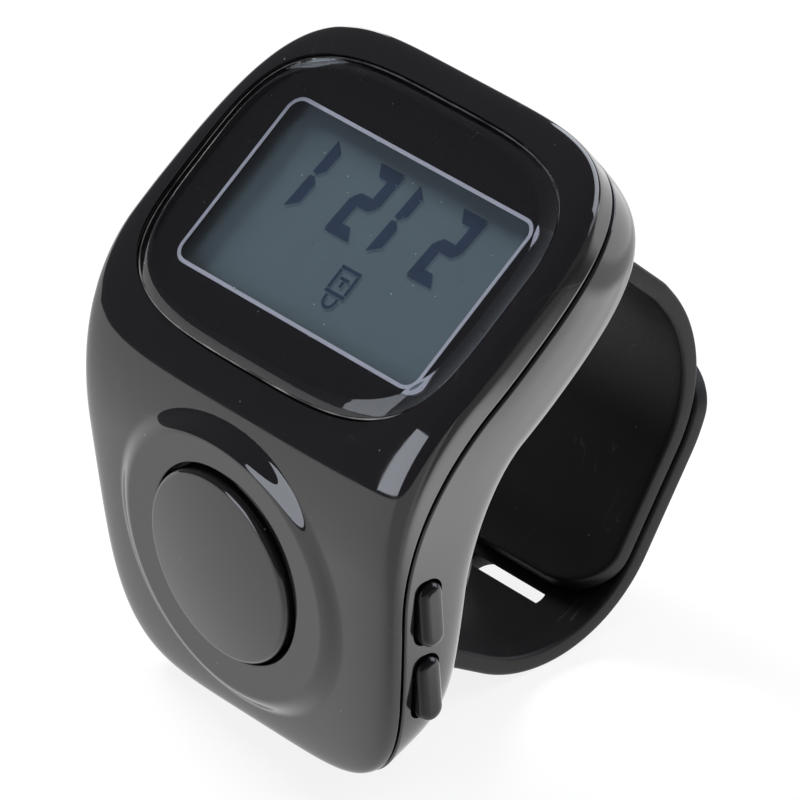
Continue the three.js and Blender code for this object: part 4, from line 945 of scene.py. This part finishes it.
def build_bottom_shell():
    points, faces, upper = pillow(
        lower_parting_line, None, bottom_at(0), 0, (None, BOTTOM_POWERS), SHELL_POINTS,
        BOTTOM_RINGS, SHELL_LIP)
    first = 1 + upper * SHELL_POINTS
    skin = [f for f in faces if min(f) >= first]
    shell = new_mesh(points, faces, 1)
    set_slots(shell, [min(f) < first for f in faces])

    def inner(line, inset, top, top_powers):
        form = pillow(parting_line, top, line, inset, (top_powers, BOTTOM_POWERS), ROOM_POINTS,
                      ROOM_RINGS)
        return new_mesh(*form[:2], 1)

    shell = combine(shell, "DIFFERENCE", [
        inner(bottom_at(BOTTOM_WALL), SIDE_WALL, Lid(), (TOP_POWERS[0], TOP_POWERS[0]))])
    front = FRONT_IN_CASE
    post_top = -BOSS_LENGTH - GAP
    lug_forms = []
    outer = STRAP_WIDTH / 2 + GAP + LUG_WALL
    for anchor, tilt in ((FRONT_ANCHOR, FRONT_SLOPE), (REAR_ANCHOR, 0)):
        place = standing(anchor, tilt)
        for side in (-1, 1):
            low = outer - LUG_THICKNESS if side > 0 else -outer
            lug_forms.append(block(low, low + LUG_THICKNESS, -LUG_HALF, LUG_HALF, -BELOW / 2,
                                   LUG_HALF, 1, place))
    rib_top = (FLANGE_BOTTOM - BUTTON_TRAVEL - GAP - DOME_HEIGHT - FINE_GAP
               - BUTTON_BOARD_THICKNESS - GAP)
    ribs = [block(low, low + RIB_OUTSIDE - RIB_INSIDE, -RIB_HALF, RIB_HALF, -BELOW, rib_top, 1,
                  front) for low in (-RIB_OUTSIDE, RIB_INSIDE)]
    inside = combine(disc(RING_RADIUS, BOTTOM_LEVEL, BOARD_BOTTOM - GAP), "UNION", [
        disc(DOOR_TAB_RADIUS, BOTTOM_LEVEL, DOOR_TOP + DOOR_POST, 48, DOOR_TAB_REACH),
        *ribs, *at_screws(BOSS_RADIUS, -BELOW, post_top),
        *at_screws(SCREW_HEAD_RADIUS + FINE_GAP + BOSS_WALL, -BELOW,
                   post_top - SCREW_SEAT + SEAT_FLOOR),
        *lug_forms,
    ])
    inside = combine(inside, "INTERSECT", [inner(
        bottom_at(FORMS_INSET), FORMS_INSET, top_line, TOP_POWERS)])
    shell = combine(shell, "UNION", [inside])
    side_holes = []
    for height in SIDE_PLACES.values():
        side_holes.append(side_form([
            (SIDE_HOLE_LENGTH, SIDE_HOLE_WIDTH, WALL_INSIDE - 1),
            (SIDE_HOLE_LENGTH, SIDE_HOLE_WIDTH, CASE_HALF_WIDTH + 1)], height))
        length = SIDE_HOLE_LENGTH - 2 * SIDE_GAP + 2 * SIDE_FLANGE_END + 2 * GAP
        width = SIDE_HOLE_WIDTH - 2 * SIDE_GAP + 2 * SIDE_FLANGE + 2 * GAP
        side_holes.append(side_form([
            (length, width, FLANGE_INSIDE - GAP), (length, width, WALL_INSIDE)], height))
    cutters = [
        disc(CELL_BORE, BOTTOM_LEVEL - 3, BOARD_TOP),
        disc(DOOR_RADIUS + FINE_GAP, BOTTOM_LEVEL - 3, DOOR_TOP + FINE_GAP),
        disc(DOOR_TAB_RADIUS + FINE_GAP, BOTTOM_LEVEL - 3, DOOR_TOP + FINE_GAP, 64,
             DOOR_TAB_REACH),
        block(0, DOOR_TAB_REACH, -DOOR_TAB_RADIUS - FINE_GAP, DOOR_TAB_RADIUS + FINE_GAP,
              BOTTOM_LEVEL - 3.1, DOOR_TOP + FINE_GAP),
        disc(SCREW_RADIUS + FINE_GAP, BOTTOM_LEVEL - 1, DOOR_TOP + DOOR_THREAD, 32,
             DOOR_TAB_REACH),
        block(-RING_RADIUS - 1, CONTACT_ROOM, -CONTACT_HALF, CONTACT_HALF, CELL_BOTTOM + GAP,
              BOARD_BOTTOM),
        block(SIDE_BOARD_BACK - GAP, SWITCH_FACE + GAP, SIDE_BOARD_FOOT - FINE_GAP - GAP,
              SIDE_BOARD_HEAD + FINE_GAP + GAP, SIDE_BOARD_LOW - GAP, SIDE_BOARD_HIGH + GAP, 1,
              front),
        *strap_rooms(),
        *at_screws(SCREW_RADIUS + FINE_GAP, -BELOW, 0),
        *at_screws(SCREW_HEAD_RADIUS + FINE_GAP, -BELOW, post_top - SCREW_SEAT),
        *side_holes,
        *[rod(PIN_RADIUS + FINE_GAP, outer + 0.5, anchor)
          for anchor in (FRONT_ANCHOR, REAR_ANCHOR)],
    ]
    shell = combine(shell, "DIFFERENCE", cutters)
    keep_skin(shell, points, skin, skin_normals(points, skin))
    return shell


# ---------------------------------------------------------------- straps

class Path:
    """Straights and arcs through rounded corners in the y-z plane."""

    def __init__(self, corners):
        self.runs = []
        start = np.array(corners[0][0], float)
        for (corner, radius), (after, _) in zip(corners[1:-1], corners[2:]):
            corner, after = np.array(corner, float), np.array(after, float)
            into = (corner - start) / np.linalg.norm(corner - start)
            out = (after - corner) / np.linalg.norm(after - corner)
            turn = math.atan2(into[0] * out[1] - into[1] * out[0], into @ out)
            tangent = radius * math.tan(abs(turn) / 2)
            bend_start = corner - tangent * into
            self.runs += [
                (start, into, np.linalg.norm(bend_start - start), 0),
                (bend_start, into, radius * abs(turn), math.copysign(1 / radius, turn))]
            start = corner + tangent * out
        end = np.array(corners[-1][0], float)
        length = np.linalg.norm(end - start)
        self.runs.append((start, (end - start) / length, length, 0))
        self.total = sum(run[2] for run in self.runs)

    def at(self, distance):
        rest = distance
        for start, direction, length, bend in self.runs[:-1]:
            if rest <= length:
                break
            rest -= length
        else:
            start, direction, length, bend = self.runs[-1]
        if bend == 0:
            return start + rest * direction, direction, left_of(direction)
        angle = rest * bend
        spin = np.array([[math.cos(angle), -math.sin(angle)], [math.sin(angle), math.cos(angle)]])
        centre = start + left_of(direction) / bend
        heading = spin @ direction
        return centre + spin @ (start - centre), heading, left_of(heading)

    def reaching(self, y):
        distances = np.linspace(0, self.total, 4001)
        for low, high in zip(distances, distances[1:]):
            if self.at(high)[0][0] >= y:
                start, end = self.at(low)[0][0], self.at(high)[0][0]
                return low + (high - low) * (y - start) / (end - start)
        return self.total


def left_of(direction):
    return np.array([-direction[1], direction[0]])


FRONT_ANCHOR = BUTTON_CENTRE + PIN_DOWN * FRONT_DIRECTION - PIN_DEEP * FRONT_NORMAL
loop = Path([(FRONT_ANCHOR, 0), *LOOP_CORNERS, ((REAR_PIN[0] + STRAP_PITCH, REAR_PIN[1]), 0)])
loop_end, _, loop_normal = loop.at(loop.total)
REAR_ANCHOR = loop_end + STRAP_PITCH * loop_normal
tip_distance, tongue_distance = loop.reaching(TIP_Y), loop.reaching(TONGUE_Y)
slot_distances = [loop.reaching(FIRST_SLOT_Y) + SLOT_PITCH * i for i in range(SLOT_COUNT)]


def rod(radius, half, anchor, count=48, slot=1):
    place = standing(anchor, math.pi / 2, "Y")
    return disc(radius, -half, half, count, slot=slot, matrix=place)


def strap_rooms():
    rooms = []
    for anchor, start, end, offset in (
        (FRONT_ANCHOR, 0, STRAP_ROOM_LENGTH, 0),
        (REAR_ANCHOR, loop.total - STRAP_ROOM_LENGTH, loop.total, STRAP_PITCH),
    ):
        half = STRAP_THICKNESS / 2 + GAP
        wide = STRAP_WIDTH / 2 + GAP
        rings = []
        for distance in np.linspace(start, end, 24):
            point, _, normal = loop.at(distance)
            a, b = point + (offset + half) * normal, point + (offset - half) * normal
            rings.append([(wide, *a), (-wide, *a), (-wide, *b), (wide, *b)])
        rooms.append(loft(rings, 1))
        rooms.append(rod(BEAD_RADIUS + GAP, BEAD_HALF + GAP, anchor))
    return rooms


def strap_band(start, end, corner, free_at_start, offset):
    """A flat band with rounded edges whose free end has rounded corners."""
    half, edge = STRAP_WIDTH / 2, STRAP_EDGE
    sides = [edge * (1 - math.cos(math.pi / 2 * i / 6)) for i in range(7)]
    lengths = [*sides, *np.linspace(edge, corner, 22)[1:],
               *np.linspace(corner, end - start, 170)[1:]]
    upper, lower = [], []
    for to_end in lengths:
        short = max(0.0, corner - to_end)
        wide = half - corner + math.sqrt(max(0.0, corner * corner - short * short))
        reach = wide - edge
        columns = [*(wide - s for s in sides), *np.linspace(reach, -reach, 25)[1:-1],
                   *(s - wide for s in sides[::-1])]
        point, _, normal = loop.at(start + to_end if free_at_start else end - to_end)
        for x in columns:
            inside = half - abs(x)
            if to_end < corner:
                away = abs(x) - half + corner
                inside = corner - math.hypot(away, corner - to_end) if away > 0 else to_end
                inside = min(inside, to_end)
            inside = max(0.0, min(inside, edge))
            lift = STRAP_THICKNESS / 2 - edge + math.sqrt(
                max(0.0, edge * edge - (edge - inside) ** 2))
            upper.append((x, *(point + (offset + lift) * normal)))
            lower.append((x, *(point + (offset - lift) * normal)))
    width, total = len(columns), len(upper)
    faces = []
    for first in range(0, total - width, width):
        last = first + width - 1
        for a in range(first, last):
            b = a + width
            faces.append((a, a + 1, b + 1, b))
            faces.append((total + a, total + b, total + b + 1, total + a + 1))
        for a, step in ((first, 1), (last, -1)):
            faces.append((a, a + width, total + a + width, total + a)[::step])
    for first, step in ((0, 1), (total - width, -1)):
        faces += [(a, total + a, total + a + 1, a + 1)[::step]
                  for a in range(first, first + width - 1)]
    return new_mesh(np.array(upper + lower), faces)


def loop_matrix(distance):
    point, direction, normal = loop.at(distance)
    return Matrix((
        (1, 0, 0, 0), (0, direction[0], normal[0], point[0]),
        (0, direction[1], normal[1], point[1]), (0, 0, 0, 1),
    ))


def crossing(length, width, distance, levels):
    """A stadium across the strap through levels of height and inset."""
    rings = []
    for inset, height in levels:
        flat = stadium(length - 2 * inset, width - 2 * inset)
        rings.append(np.stack([flat[:, 1], -flat[:, 0], np.full(len(flat), height)], axis=1))
    return loft(rings, 0, loop_matrix(distance))


def build_front_strap():
    band = strap_band(0, tip_distance, TIP_CORNER, False, 0)
    band = combine(band, "UNION", [rod(BEAD_RADIUS, BEAD_HALF, FRONT_ANCHOR, slot=0)])
    deep = STRAP_THICKNESS / 2
    levels = [(inset, rise - deep) for inset, rise in SLOT_ROUNDING]
    levels += [(inset, -height) for inset, height in levels[::-1]]
    slots = [crossing(SLOT_LENGTH, SLOT_WIDTH, distance, levels) for distance in slot_distances]
    return combine(band, "DIFFERENCE", [
        rod(PIN_RADIUS + FINE_GAP, STRAP_WIDTH, FRONT_ANCHOR, slot=0), *slots])


def build_rear_strap():
    band = strap_band(tongue_distance, loop.total, TONGUE_CORNER, True, STRAP_PITCH)
    outside = -STRAP_THICKNESS / 2 - GAP
    place = slot_distances[1]
    head = [(inset, outside - below) for inset, below in HEAD_ROUNDING]
    band = combine(band, "UNION", [
        rod(BEAD_RADIUS, BEAD_HALF, REAR_ANCHOR, slot=0),
        crossing(*PEG_STEM, place, [(0, outside - GAP), (0, STRAP_PITCH)]),
        crossing(*PEG_HEAD, place, head),
    ])
    return combine(band, "DIFFERENCE", [
        rod(PIN_RADIUS + FINE_GAP, STRAP_WIDTH, REAR_ANCHOR, slot=0)])


# ---------------------------------------------------------------- buttons, lens, display

def build_button():
    profile = [(CAP_RADIUS - 0.6, FLANGE_BOTTOM), (FLANGE_RADIUS, FLANGE_BOTTOM),
               (FLANGE_RADIUS, FLANGE_TOP), (CAP_RADIUS, FLANGE_TOP),
               (CAP_RADIUS, FLANGE_TOP + 0.6), (CAP_RADIUS, BUTTON_PROUD - BUTTON_EDGE - 0.1)]
    profile += arc(CAP_RADIUS - BUTTON_EDGE, BUTTON_PROUD - BUTTON_EDGE, BUTTON_EDGE,
                   np.linspace(0, math.pi / 2 * 0.93, 12))
    start, height = profile[-1]
    for share in np.linspace(0, 1, 30)[1:-1]:
        radius = start * (1 - share)
        rise = BUTTON_PROUD + BUTTON_CROWN - height
        profile.append((radius, height + rise * (1 - (radius / start) ** 2)))
    return finish_edges(turned(profile, 160))


def build_dome():
    """Rubber dome under the button: a foot ring, a thin sloping wall and a rounded top."""
    top = FLANGE_BOTTOM - BUTTON_TRAVEL - GAP
    low, shoulder = top - DOME_HEIGHT, DOME_RADIUS * 0.6
    foot, ledge, crest, sag, rounding, nose = 0.3, 0.12, 0.14, 0.1, 0.16, 0.2
    profile = [(DOME_RADIUS, low), *arc(DOME_RADIUS - ledge, low + foot - ledge, ledge,
                                        np.linspace(0, math.pi / 2, 7))]
    for share in np.linspace(0, 1, 10):
        profile.append((DOME_RADIUS - foot + (shoulder + crest - DOME_RADIUS + foot) * share,
                        low + foot + (top - crest - low - foot)
                        * (share - sag * math.sin(math.pi * share))))
    for angle in np.linspace(0.35, math.pi / 2, 7):
        profile.append((shoulder + crest - nose + nose * math.cos(angle),
                        top - rounding + rounding * math.sin(angle)))
    return finish_edges(turned(profile, 96))


def build_side_button(height):
    length, width = SIDE_HOLE_LENGTH - 2 * SIDE_GAP, SIDE_HOLE_WIDTH - 2 * SIDE_GAP
    face = side_wall_x(height) + SIDE_PROUD
    outer = FLANGE_INSIDE + SIDE_FLANGE_THICKNESS
    wide = (length + 2 * SIDE_FLANGE_END, width + 2 * SIDE_FLANGE)
    rings = [(*wide, FLANGE_INSIDE), (*wide, outer), (length, width, outer)]
    edge = 0.45
    rings += [(length, width, outer + 0.3), (length, width, face - edge - 0.05)]
    crown = arc(edge, face - edge - 0.03, edge, math.pi - np.linspace(0.1, math.pi * 0.45, 10))
    crown += [(inset, face - 0.02 + 0.02 * inset / 0.7) for inset in (0.5, 0.6, 0.7)]
    rings += [(length - 2 * inset, width - 2 * inset, x) for inset, x in crown]
    return finish_edges(side_form(rings, height, 0))


def build_lens():
    seam = LENS_TOP - LENS_BEVEL
    slope = math.atan2(LENS_BEVEL, LENS_BEVEL_RUN)
    rings = [(0.12, LENS_BOTTOM), (0.0, LENS_BOTTOM + 0.12)]
    soft = 0.09
    rings += [(0.0, seam - soft), (soft * 0.1, seam - soft * 0.35), (soft * 0.45, seam + 0.02)]
    inner = LENS_BEVEL_RUN
    for back in (0.16, 0.09, 0.04):
        rings.append((inner - back * math.cos(slope), LENS_TOP - back * math.sin(slope) - 0.004))
    rings += [(inner + 0.02, LENS_TOP - 0.002), (inner + 0.08, LENS_TOP), (inner + 0.3, LENS_TOP)]
    rings += [(inset, LENS_TOP) for inset in (2, 4, 6, 8)]
    return finish_edges(loft([lens_outline(-inset, z, 320) for inset, z in rings]))


def ring_plate(outer, inner, low, high):
    """A flat plate between two outlines with the same number of points."""
    rows = [at_level(*row)
            for row in ((outer, low), (outer, high), (inner, high), (inner, low))]
    return new_mesh(np.concatenate(rows), ring_faces(len(rows), len(outer)))


def build_mask():
    plate = slab(lens_outline(-GAP), MASK_BOTTOM, MASK_TOP, 0)
    hole = slab(window_outline(0), MASK_BOTTOM - 1, MASK_TOP + 1, 0)
    return combine(plate, "DIFFERENCE", [hole])


def window_outline(grow):
    """The printed window, which sits a little off the middle of the case."""
    ring = rounded(PRINT_HALF[0] + grow, PRINT_HALF[1] + grow, PRINT_CORNER + grow, 0)
    ring[:, 0] += PRINT_OFFSET
    return ring


def outlined_plates(outlines, low, high):
    """Thin plates over flat outlines of x and y, as one mesh."""
    points, faces = [], []
    for outline in outlines:
        start, count = len(points), len(outline)
        points += [(x, y, low) for x, y in outline] + [(x, y, high) for x, y in outline]
        faces.append([start + i for i in range(count)][::-1])
        faces.append([start + count + i for i in range(count)])
        faces += [(start + i, start + (i + 1) % count, start + count + (i + 1) % count,
                   start + count + i) for i in range(count)]
    return new_mesh(np.array(points), faces)


# Segments of a digit, as outlines with slanted ends
DIGIT_WIDTH, DIGIT_HEIGHT, DIGIT_STROKE, DIGIT_SLANT, DIGIT_PITCH = 2.35, 5.25, 0.86, 0.075, 3.78
FIRST_DIGIT, DIGIT_FOOT = 7.02, 5.22
PADLOCK_PLACE = (1.55, -1.3)
SEGMENTS = {"1": "bc", "2": "abged"}


def digit_outlines(figure):
    w, h, t, g = DIGIT_WIDTH, DIGIT_HEIGHT, DIGIT_STROKE, 0.08
    m, k, e = h / 2, t / 2, t * 0.75
    shapes = {
        "a": [(g, h), (w - g, h), (w - g - e, h - t), (g + e, h - t)],
        "d": [(g, 0), (w - g, 0), (w - g - e, t), (g + e, t)],
        "g": [(g + k, m + k), (w - g - k, m + k), (w - g, m), (w - g - k, m - k), (g + k, m - k),
              (g, m)],
        "b": [(w, h - g), (w, m + g + 0.05), (w - k, m + g), (w - t, m + g + k),
              (w - t, h - e - g)],
        "c": [(w, m - g - 0.05), (w, g), (w - t, g + e), (w - t, m - g - k), (w - k, m - g)],
        "e": [(0, m - g - 0.05), (0, g), (t, g + e), (t, m - g - k), (k, m - g)],
    }
    return [[(x + y * DIGIT_SLANT, y) for x, y in shapes[name]] for name in SEGMENTS[figure]]


def padlock_outlines():
    """A plain padlock sign: a frame with a mark in it, under a shackle."""
    def bar(x0, y0, x1, y1):
        return [(x0, y0), (x1, y0), (x1, y1), (x0, y1)]

    bow = np.linspace(0, math.pi, 15)
    shackle = [(1.45, 2.04), *arc(0.87, 2.3, 0.58, bow), (0.29, 2.04), (0.5, 2.04),
               *arc(0.87, 2.3, 0.37, bow[::-1]), (1.24, 2.04)]
    return [bar(0, 0, 1.75, 0.24), bar(0, 1.7, 1.75, 1.94), bar(0, 0.3, 0.24, 1.64),
            bar(1.51, 0.3, 1.75, 1.64), bar(0.5, 0.68, 1.25, 0.9), bar(0.76, 0.95, 0.99, 1.36),
            shackle]


def display_signs(shift):
    """The lit signs. They are read from the button's side, so they stand on their head here."""
    signs = []
    for place, figure in enumerate("2121"):
        for shape in digit_outlines(figure):
            signs.append([(FIRST_DIGIT - place * DIGIT_PITCH - x, DIGIT_FOOT - y)
                          for x, y in shape])
    for shape in padlock_outlines():
        signs.append([(PADLOCK_PLACE[0] - x, PADLOCK_PLACE[1] - y) for x, y in shape])
    return [[(x + shift[0], y + shift[1]) for x, y in shape] for shape in signs]


# ---------------------------------------------------------------- pieces

BLACK = [black_gloss, inner_black]
RUBBER = [rubber, rubber]
piece("top_shell_skin", build_top_shell(), "case", BLACK, ["top_shell"])
piece("bottom_shell_skin", build_bottom_shell(), "case", BLACK, ["bottom_shell"])
piece("front_strap_band", finish_edges(build_front_strap()), "case", RUBBER,
      ["front_strap"])
piece("rear_strap_band", finish_edges(build_rear_strap()), "case", RUBBER,
      ["rear_strap"])
piece("main_button_cap", build_button(), "main_button", [button_gloss],
      ["main_button"], FRONT)
piece("main_dome_bell", build_dome(), "case", [rubber], ["main_dome"], FRONT)
for level, height in SIDE_PLACES.items():
    piece(f"side_button_{level}_cap", build_side_button(height), f"side_button_{level}",
          [side_gloss], [f"side_button_{level}"])
piece("lens_plate", build_lens(), "case", [lens_clear], ["lens"])
piece("mask_print", finish_edges(build_mask(), 30), "case",
      [dark_print, dark_print], ["lens_mask"])
window_line = ring_plate(
    window_outline(PRINT_LINE), window_outline(0), MASK_TOP, MASK_TOP + 0.03)
piece("window_line", window_line, "case", [pale_print])
seam_ring = ring_plate(
    lens_outline(DUST_OUTSIDE), lens_outline(DUST_INSIDE), SEAM_LEVEL - DUST_DEPTH, SEAM_LEVEL)
piece("lens_seam_dust", seam_ring, "case", [seam_dust("seam_dust")])
for name, shift, low, high, material in (
    ("display_shadows", SHADOW_SHIFT, 0.002, 0.008, film_shadow),
    ("display_signs", (0, 0), 0.01, 0.02, segment),
):
    plates = outlined_plates(display_signs(shift), GLASS_TOP + low, GLASS_TOP + high)
    piece(name, plates, "case", [material])

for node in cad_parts.values():
    for slot in node.material_slots:
        name = slot.material.name.split(".")[0] if slot.material else ""
        if name in carried:
            slot.material = carried[name]

# ---------------------------------------------------------------- studio

FLOOR_HALF = 3
floor_mesh = bpy.data.meshes.new("floor")
floor_mesh.from_pydata(
    [(x * FLOOR_HALF, y * FLOOR_HALF, 0) for x, y in ((-1, -1), (1, -1), (1, 1), (-1, 1))],
    [], [(0, 1, 2, 3)])
floor = bpy.data.objects.new("floor", floor_mesh)
bpy.context.scene.collection.objects.link(floor)


def floor_paper():
    """White paper. What glossy faces see of it is brighter behind the case and dark far right."""
    n = Nodes("floor_paper")
    n.set(Base_Color=(0.9, 0.9, 0.9), Roughness=0.9, Specular_IOR_Level=0.0)
    spot = n.fill(n.node("SeparateXYZ"), Vector=n.scaled())
    x, y = spot.outputs["X"], spot.outputs["Y"]
    rise = n.maths("ADD", n.ease(x, 0, 12, 0, 0.65), n.ease(x, 18, 36, 0, 0.75))
    deep = n.maths("MULTIPLY", n.ease(y, -12, 2, 0, 1), n.ease(y, 50, 64, 1, 0))
    behind = n.maths("MULTIPLY", rise, deep)
    before = n.maths("MULTIPLY", n.ease(x, 5, 25, 0, 0.3), n.ease(y, -25, -12, 1, 0))
    level = n.maths("SUBTRACT", n.maths("ADD", behind, 1.0), before)
    level = n.maths("ADD", level, n.ease(y, 78, 100, 0, 0.6))
    slanted = n.maths("SUBTRACT", x, n.maths("MULTIPLY", y, 0.37))
    dark = n.maths("MULTIPLY", n.ease(slanted, 37, 50, 0, 0.85), n.ease(y, -14, 0, 0, 1))
    level = n.maths("MULTIPLY", level, n.maths("SUBTRACT", 1.0, dark))
    path = n.node("LightPath")
    direct = n.maths("MAXIMUM", path.outputs["Is Camera Ray"], path.outputs["Is Transmission Ray"])
    mirrored = path.outputs["Is Glossy Ray"]
    glow = n.fill(n.node("Emission"), Strength=n.maths(
        "MAXIMUM", direct, n.maths("MULTIPLY", mirrored, level)))
    away = n.node("VectorMath", operation="LENGTH")
    n.link(n.scaled(), away.inputs[0])
    far = n.ease(away.outputs["Value"], 40, 130, 0.86, 1)
    n.blended(n.maths("MAXIMUM", n.maths("MULTIPLY", direct, far), mirrored),
              n.shader.outputs["BSDF"], glow.outputs["Emission"])
    return n.material


floor_mesh.materials.append(floor_paper())

# The world is white for the camera alone and dim for everything that it lights.
world = bpy.data.worlds.new("studio")
bpy.context.scene.world = world
world.use_nodes = True
sky = world.node_tree
dim = sky.nodes["Background"]
dim.inputs["Color"].default_value = (0.12, 0.12, 0.13, 1)
white = sky.nodes.new("ShaderNodeBackground")
white.inputs["Color"].default_value = (1, 1, 1, 1)
either = sky.nodes.new("ShaderNodeMixShader")
seen = sky.nodes.new("ShaderNodeLightPath").outputs["Is Camera Ray"]
for source, socket in zip((seen, dim.outputs[0], white.outputs[0]), either.inputs):
    sky.links.new(source, socket)
sky.links.new(either.outputs["Shader"], sky.nodes["World Output"].inputs["Surface"])


LIT_PLACE = Vector((0, -0.008, 0.022))
COOL = (0.86, 0.91, 1.0)


def lamp(name, azimuth, elevation, distance, size, radiance, colour=(1, 1, 1), mirrored=True):
    """A softbox facing the case. Azimuth 0 lies in front of it and 90 on its right."""
    a, e = math.radians(azimuth), math.radians(elevation)
    away = Vector((math.sin(a) * math.cos(e), -math.cos(a) * math.cos(e), math.sin(e)))
    data = bpy.data.lights.new(name, "AREA")
    data.shape = "RECTANGLE"
    data.size, data.size_y = size
    data.color = colour
    data.energy = radiance * math.pi * size[0] * size[1]
    thing = bpy.data.objects.new(name, data)
    thing.location = LIT_PLACE + away * distance
    thing.rotation_euler = (-away).to_track_quat("-Z", "Y").to_euler()
    thing.visible_glossy = thing.visible_transmission = mirrored
    bpy.context.scene.collection.objects.link(thing)


lamp("front_window", -13, 19, 0.3, (0.145, 0.19), 3.5, COOL)
lamp("rear_window", 180, 28, 0.3, (0.43, 0.18), 3.4, COOL)
lamp("rear_strip", -129, 8, 0.3, (0.05, 0.06), 4.0)
lamp("right_window", 150, 5, 0.35, (0.15, 0.06), 1.3, COOL)
lamp("left_light", -98, 36, 0.45, (0.14, 0.14), 44, mirrored=False)
lamp("top_light", 150, 75, 0.6, (0.5, 0.5), 2.2, mirrored=False)

# Camera at the photograph's viewing angle: fitted rows, focal length in pixels and centre.
RIGHT = np.array([0.6422, 0.6037, -0.4724])
UP = np.array([-0.3609, 0.7818, 0.5085])
BACK = np.array([0.6763, -0.1561, 0.7199])
FOCAL, DISTANCE, CENTRE = 16.9 * 468.053, 468.053, (353.271, 242.236)
FRAME_PIXELS, SENSOR = 800, 36

turn = CASE.to_3x3().normalized()
middle = FRAME_PIXELS / 2
towards = Vector((
    (middle - CENTRE[0]) / FOCAL, -(middle - CENTRE[1]) / FOCAL, -1)).normalized()
axes = [turn @ Vector(row) for row in (RIGHT, UP, BACK)]
axis = sum((part * row for part, row in zip(towards, axes)), Vector())
camera_place = CASE @ Vector(BACK * DISTANCE)
back = -axis
side = axes[1].cross(back).normalized()
upward = back.cross(side).normalized()
camera_data = bpy.data.cameras.new("camera")
camera_data.sensor_width = SENSOR
camera_data.lens = FOCAL * SENSOR / FRAME_PIXELS
camera_data.clip_start, camera_data.clip_end = 0.01, 20
camera = bpy.data.objects.new("camera", camera_data)
camera.matrix_world = Matrix.Translation(camera_place) @ Matrix(
    (side, upward, back)).transposed().to_4x4()
bpy.context.scene.collection.objects.link(camera)
bpy.context.scene.camera = camera
bpy.context.scene.view_settings.view_transform = "Standard"
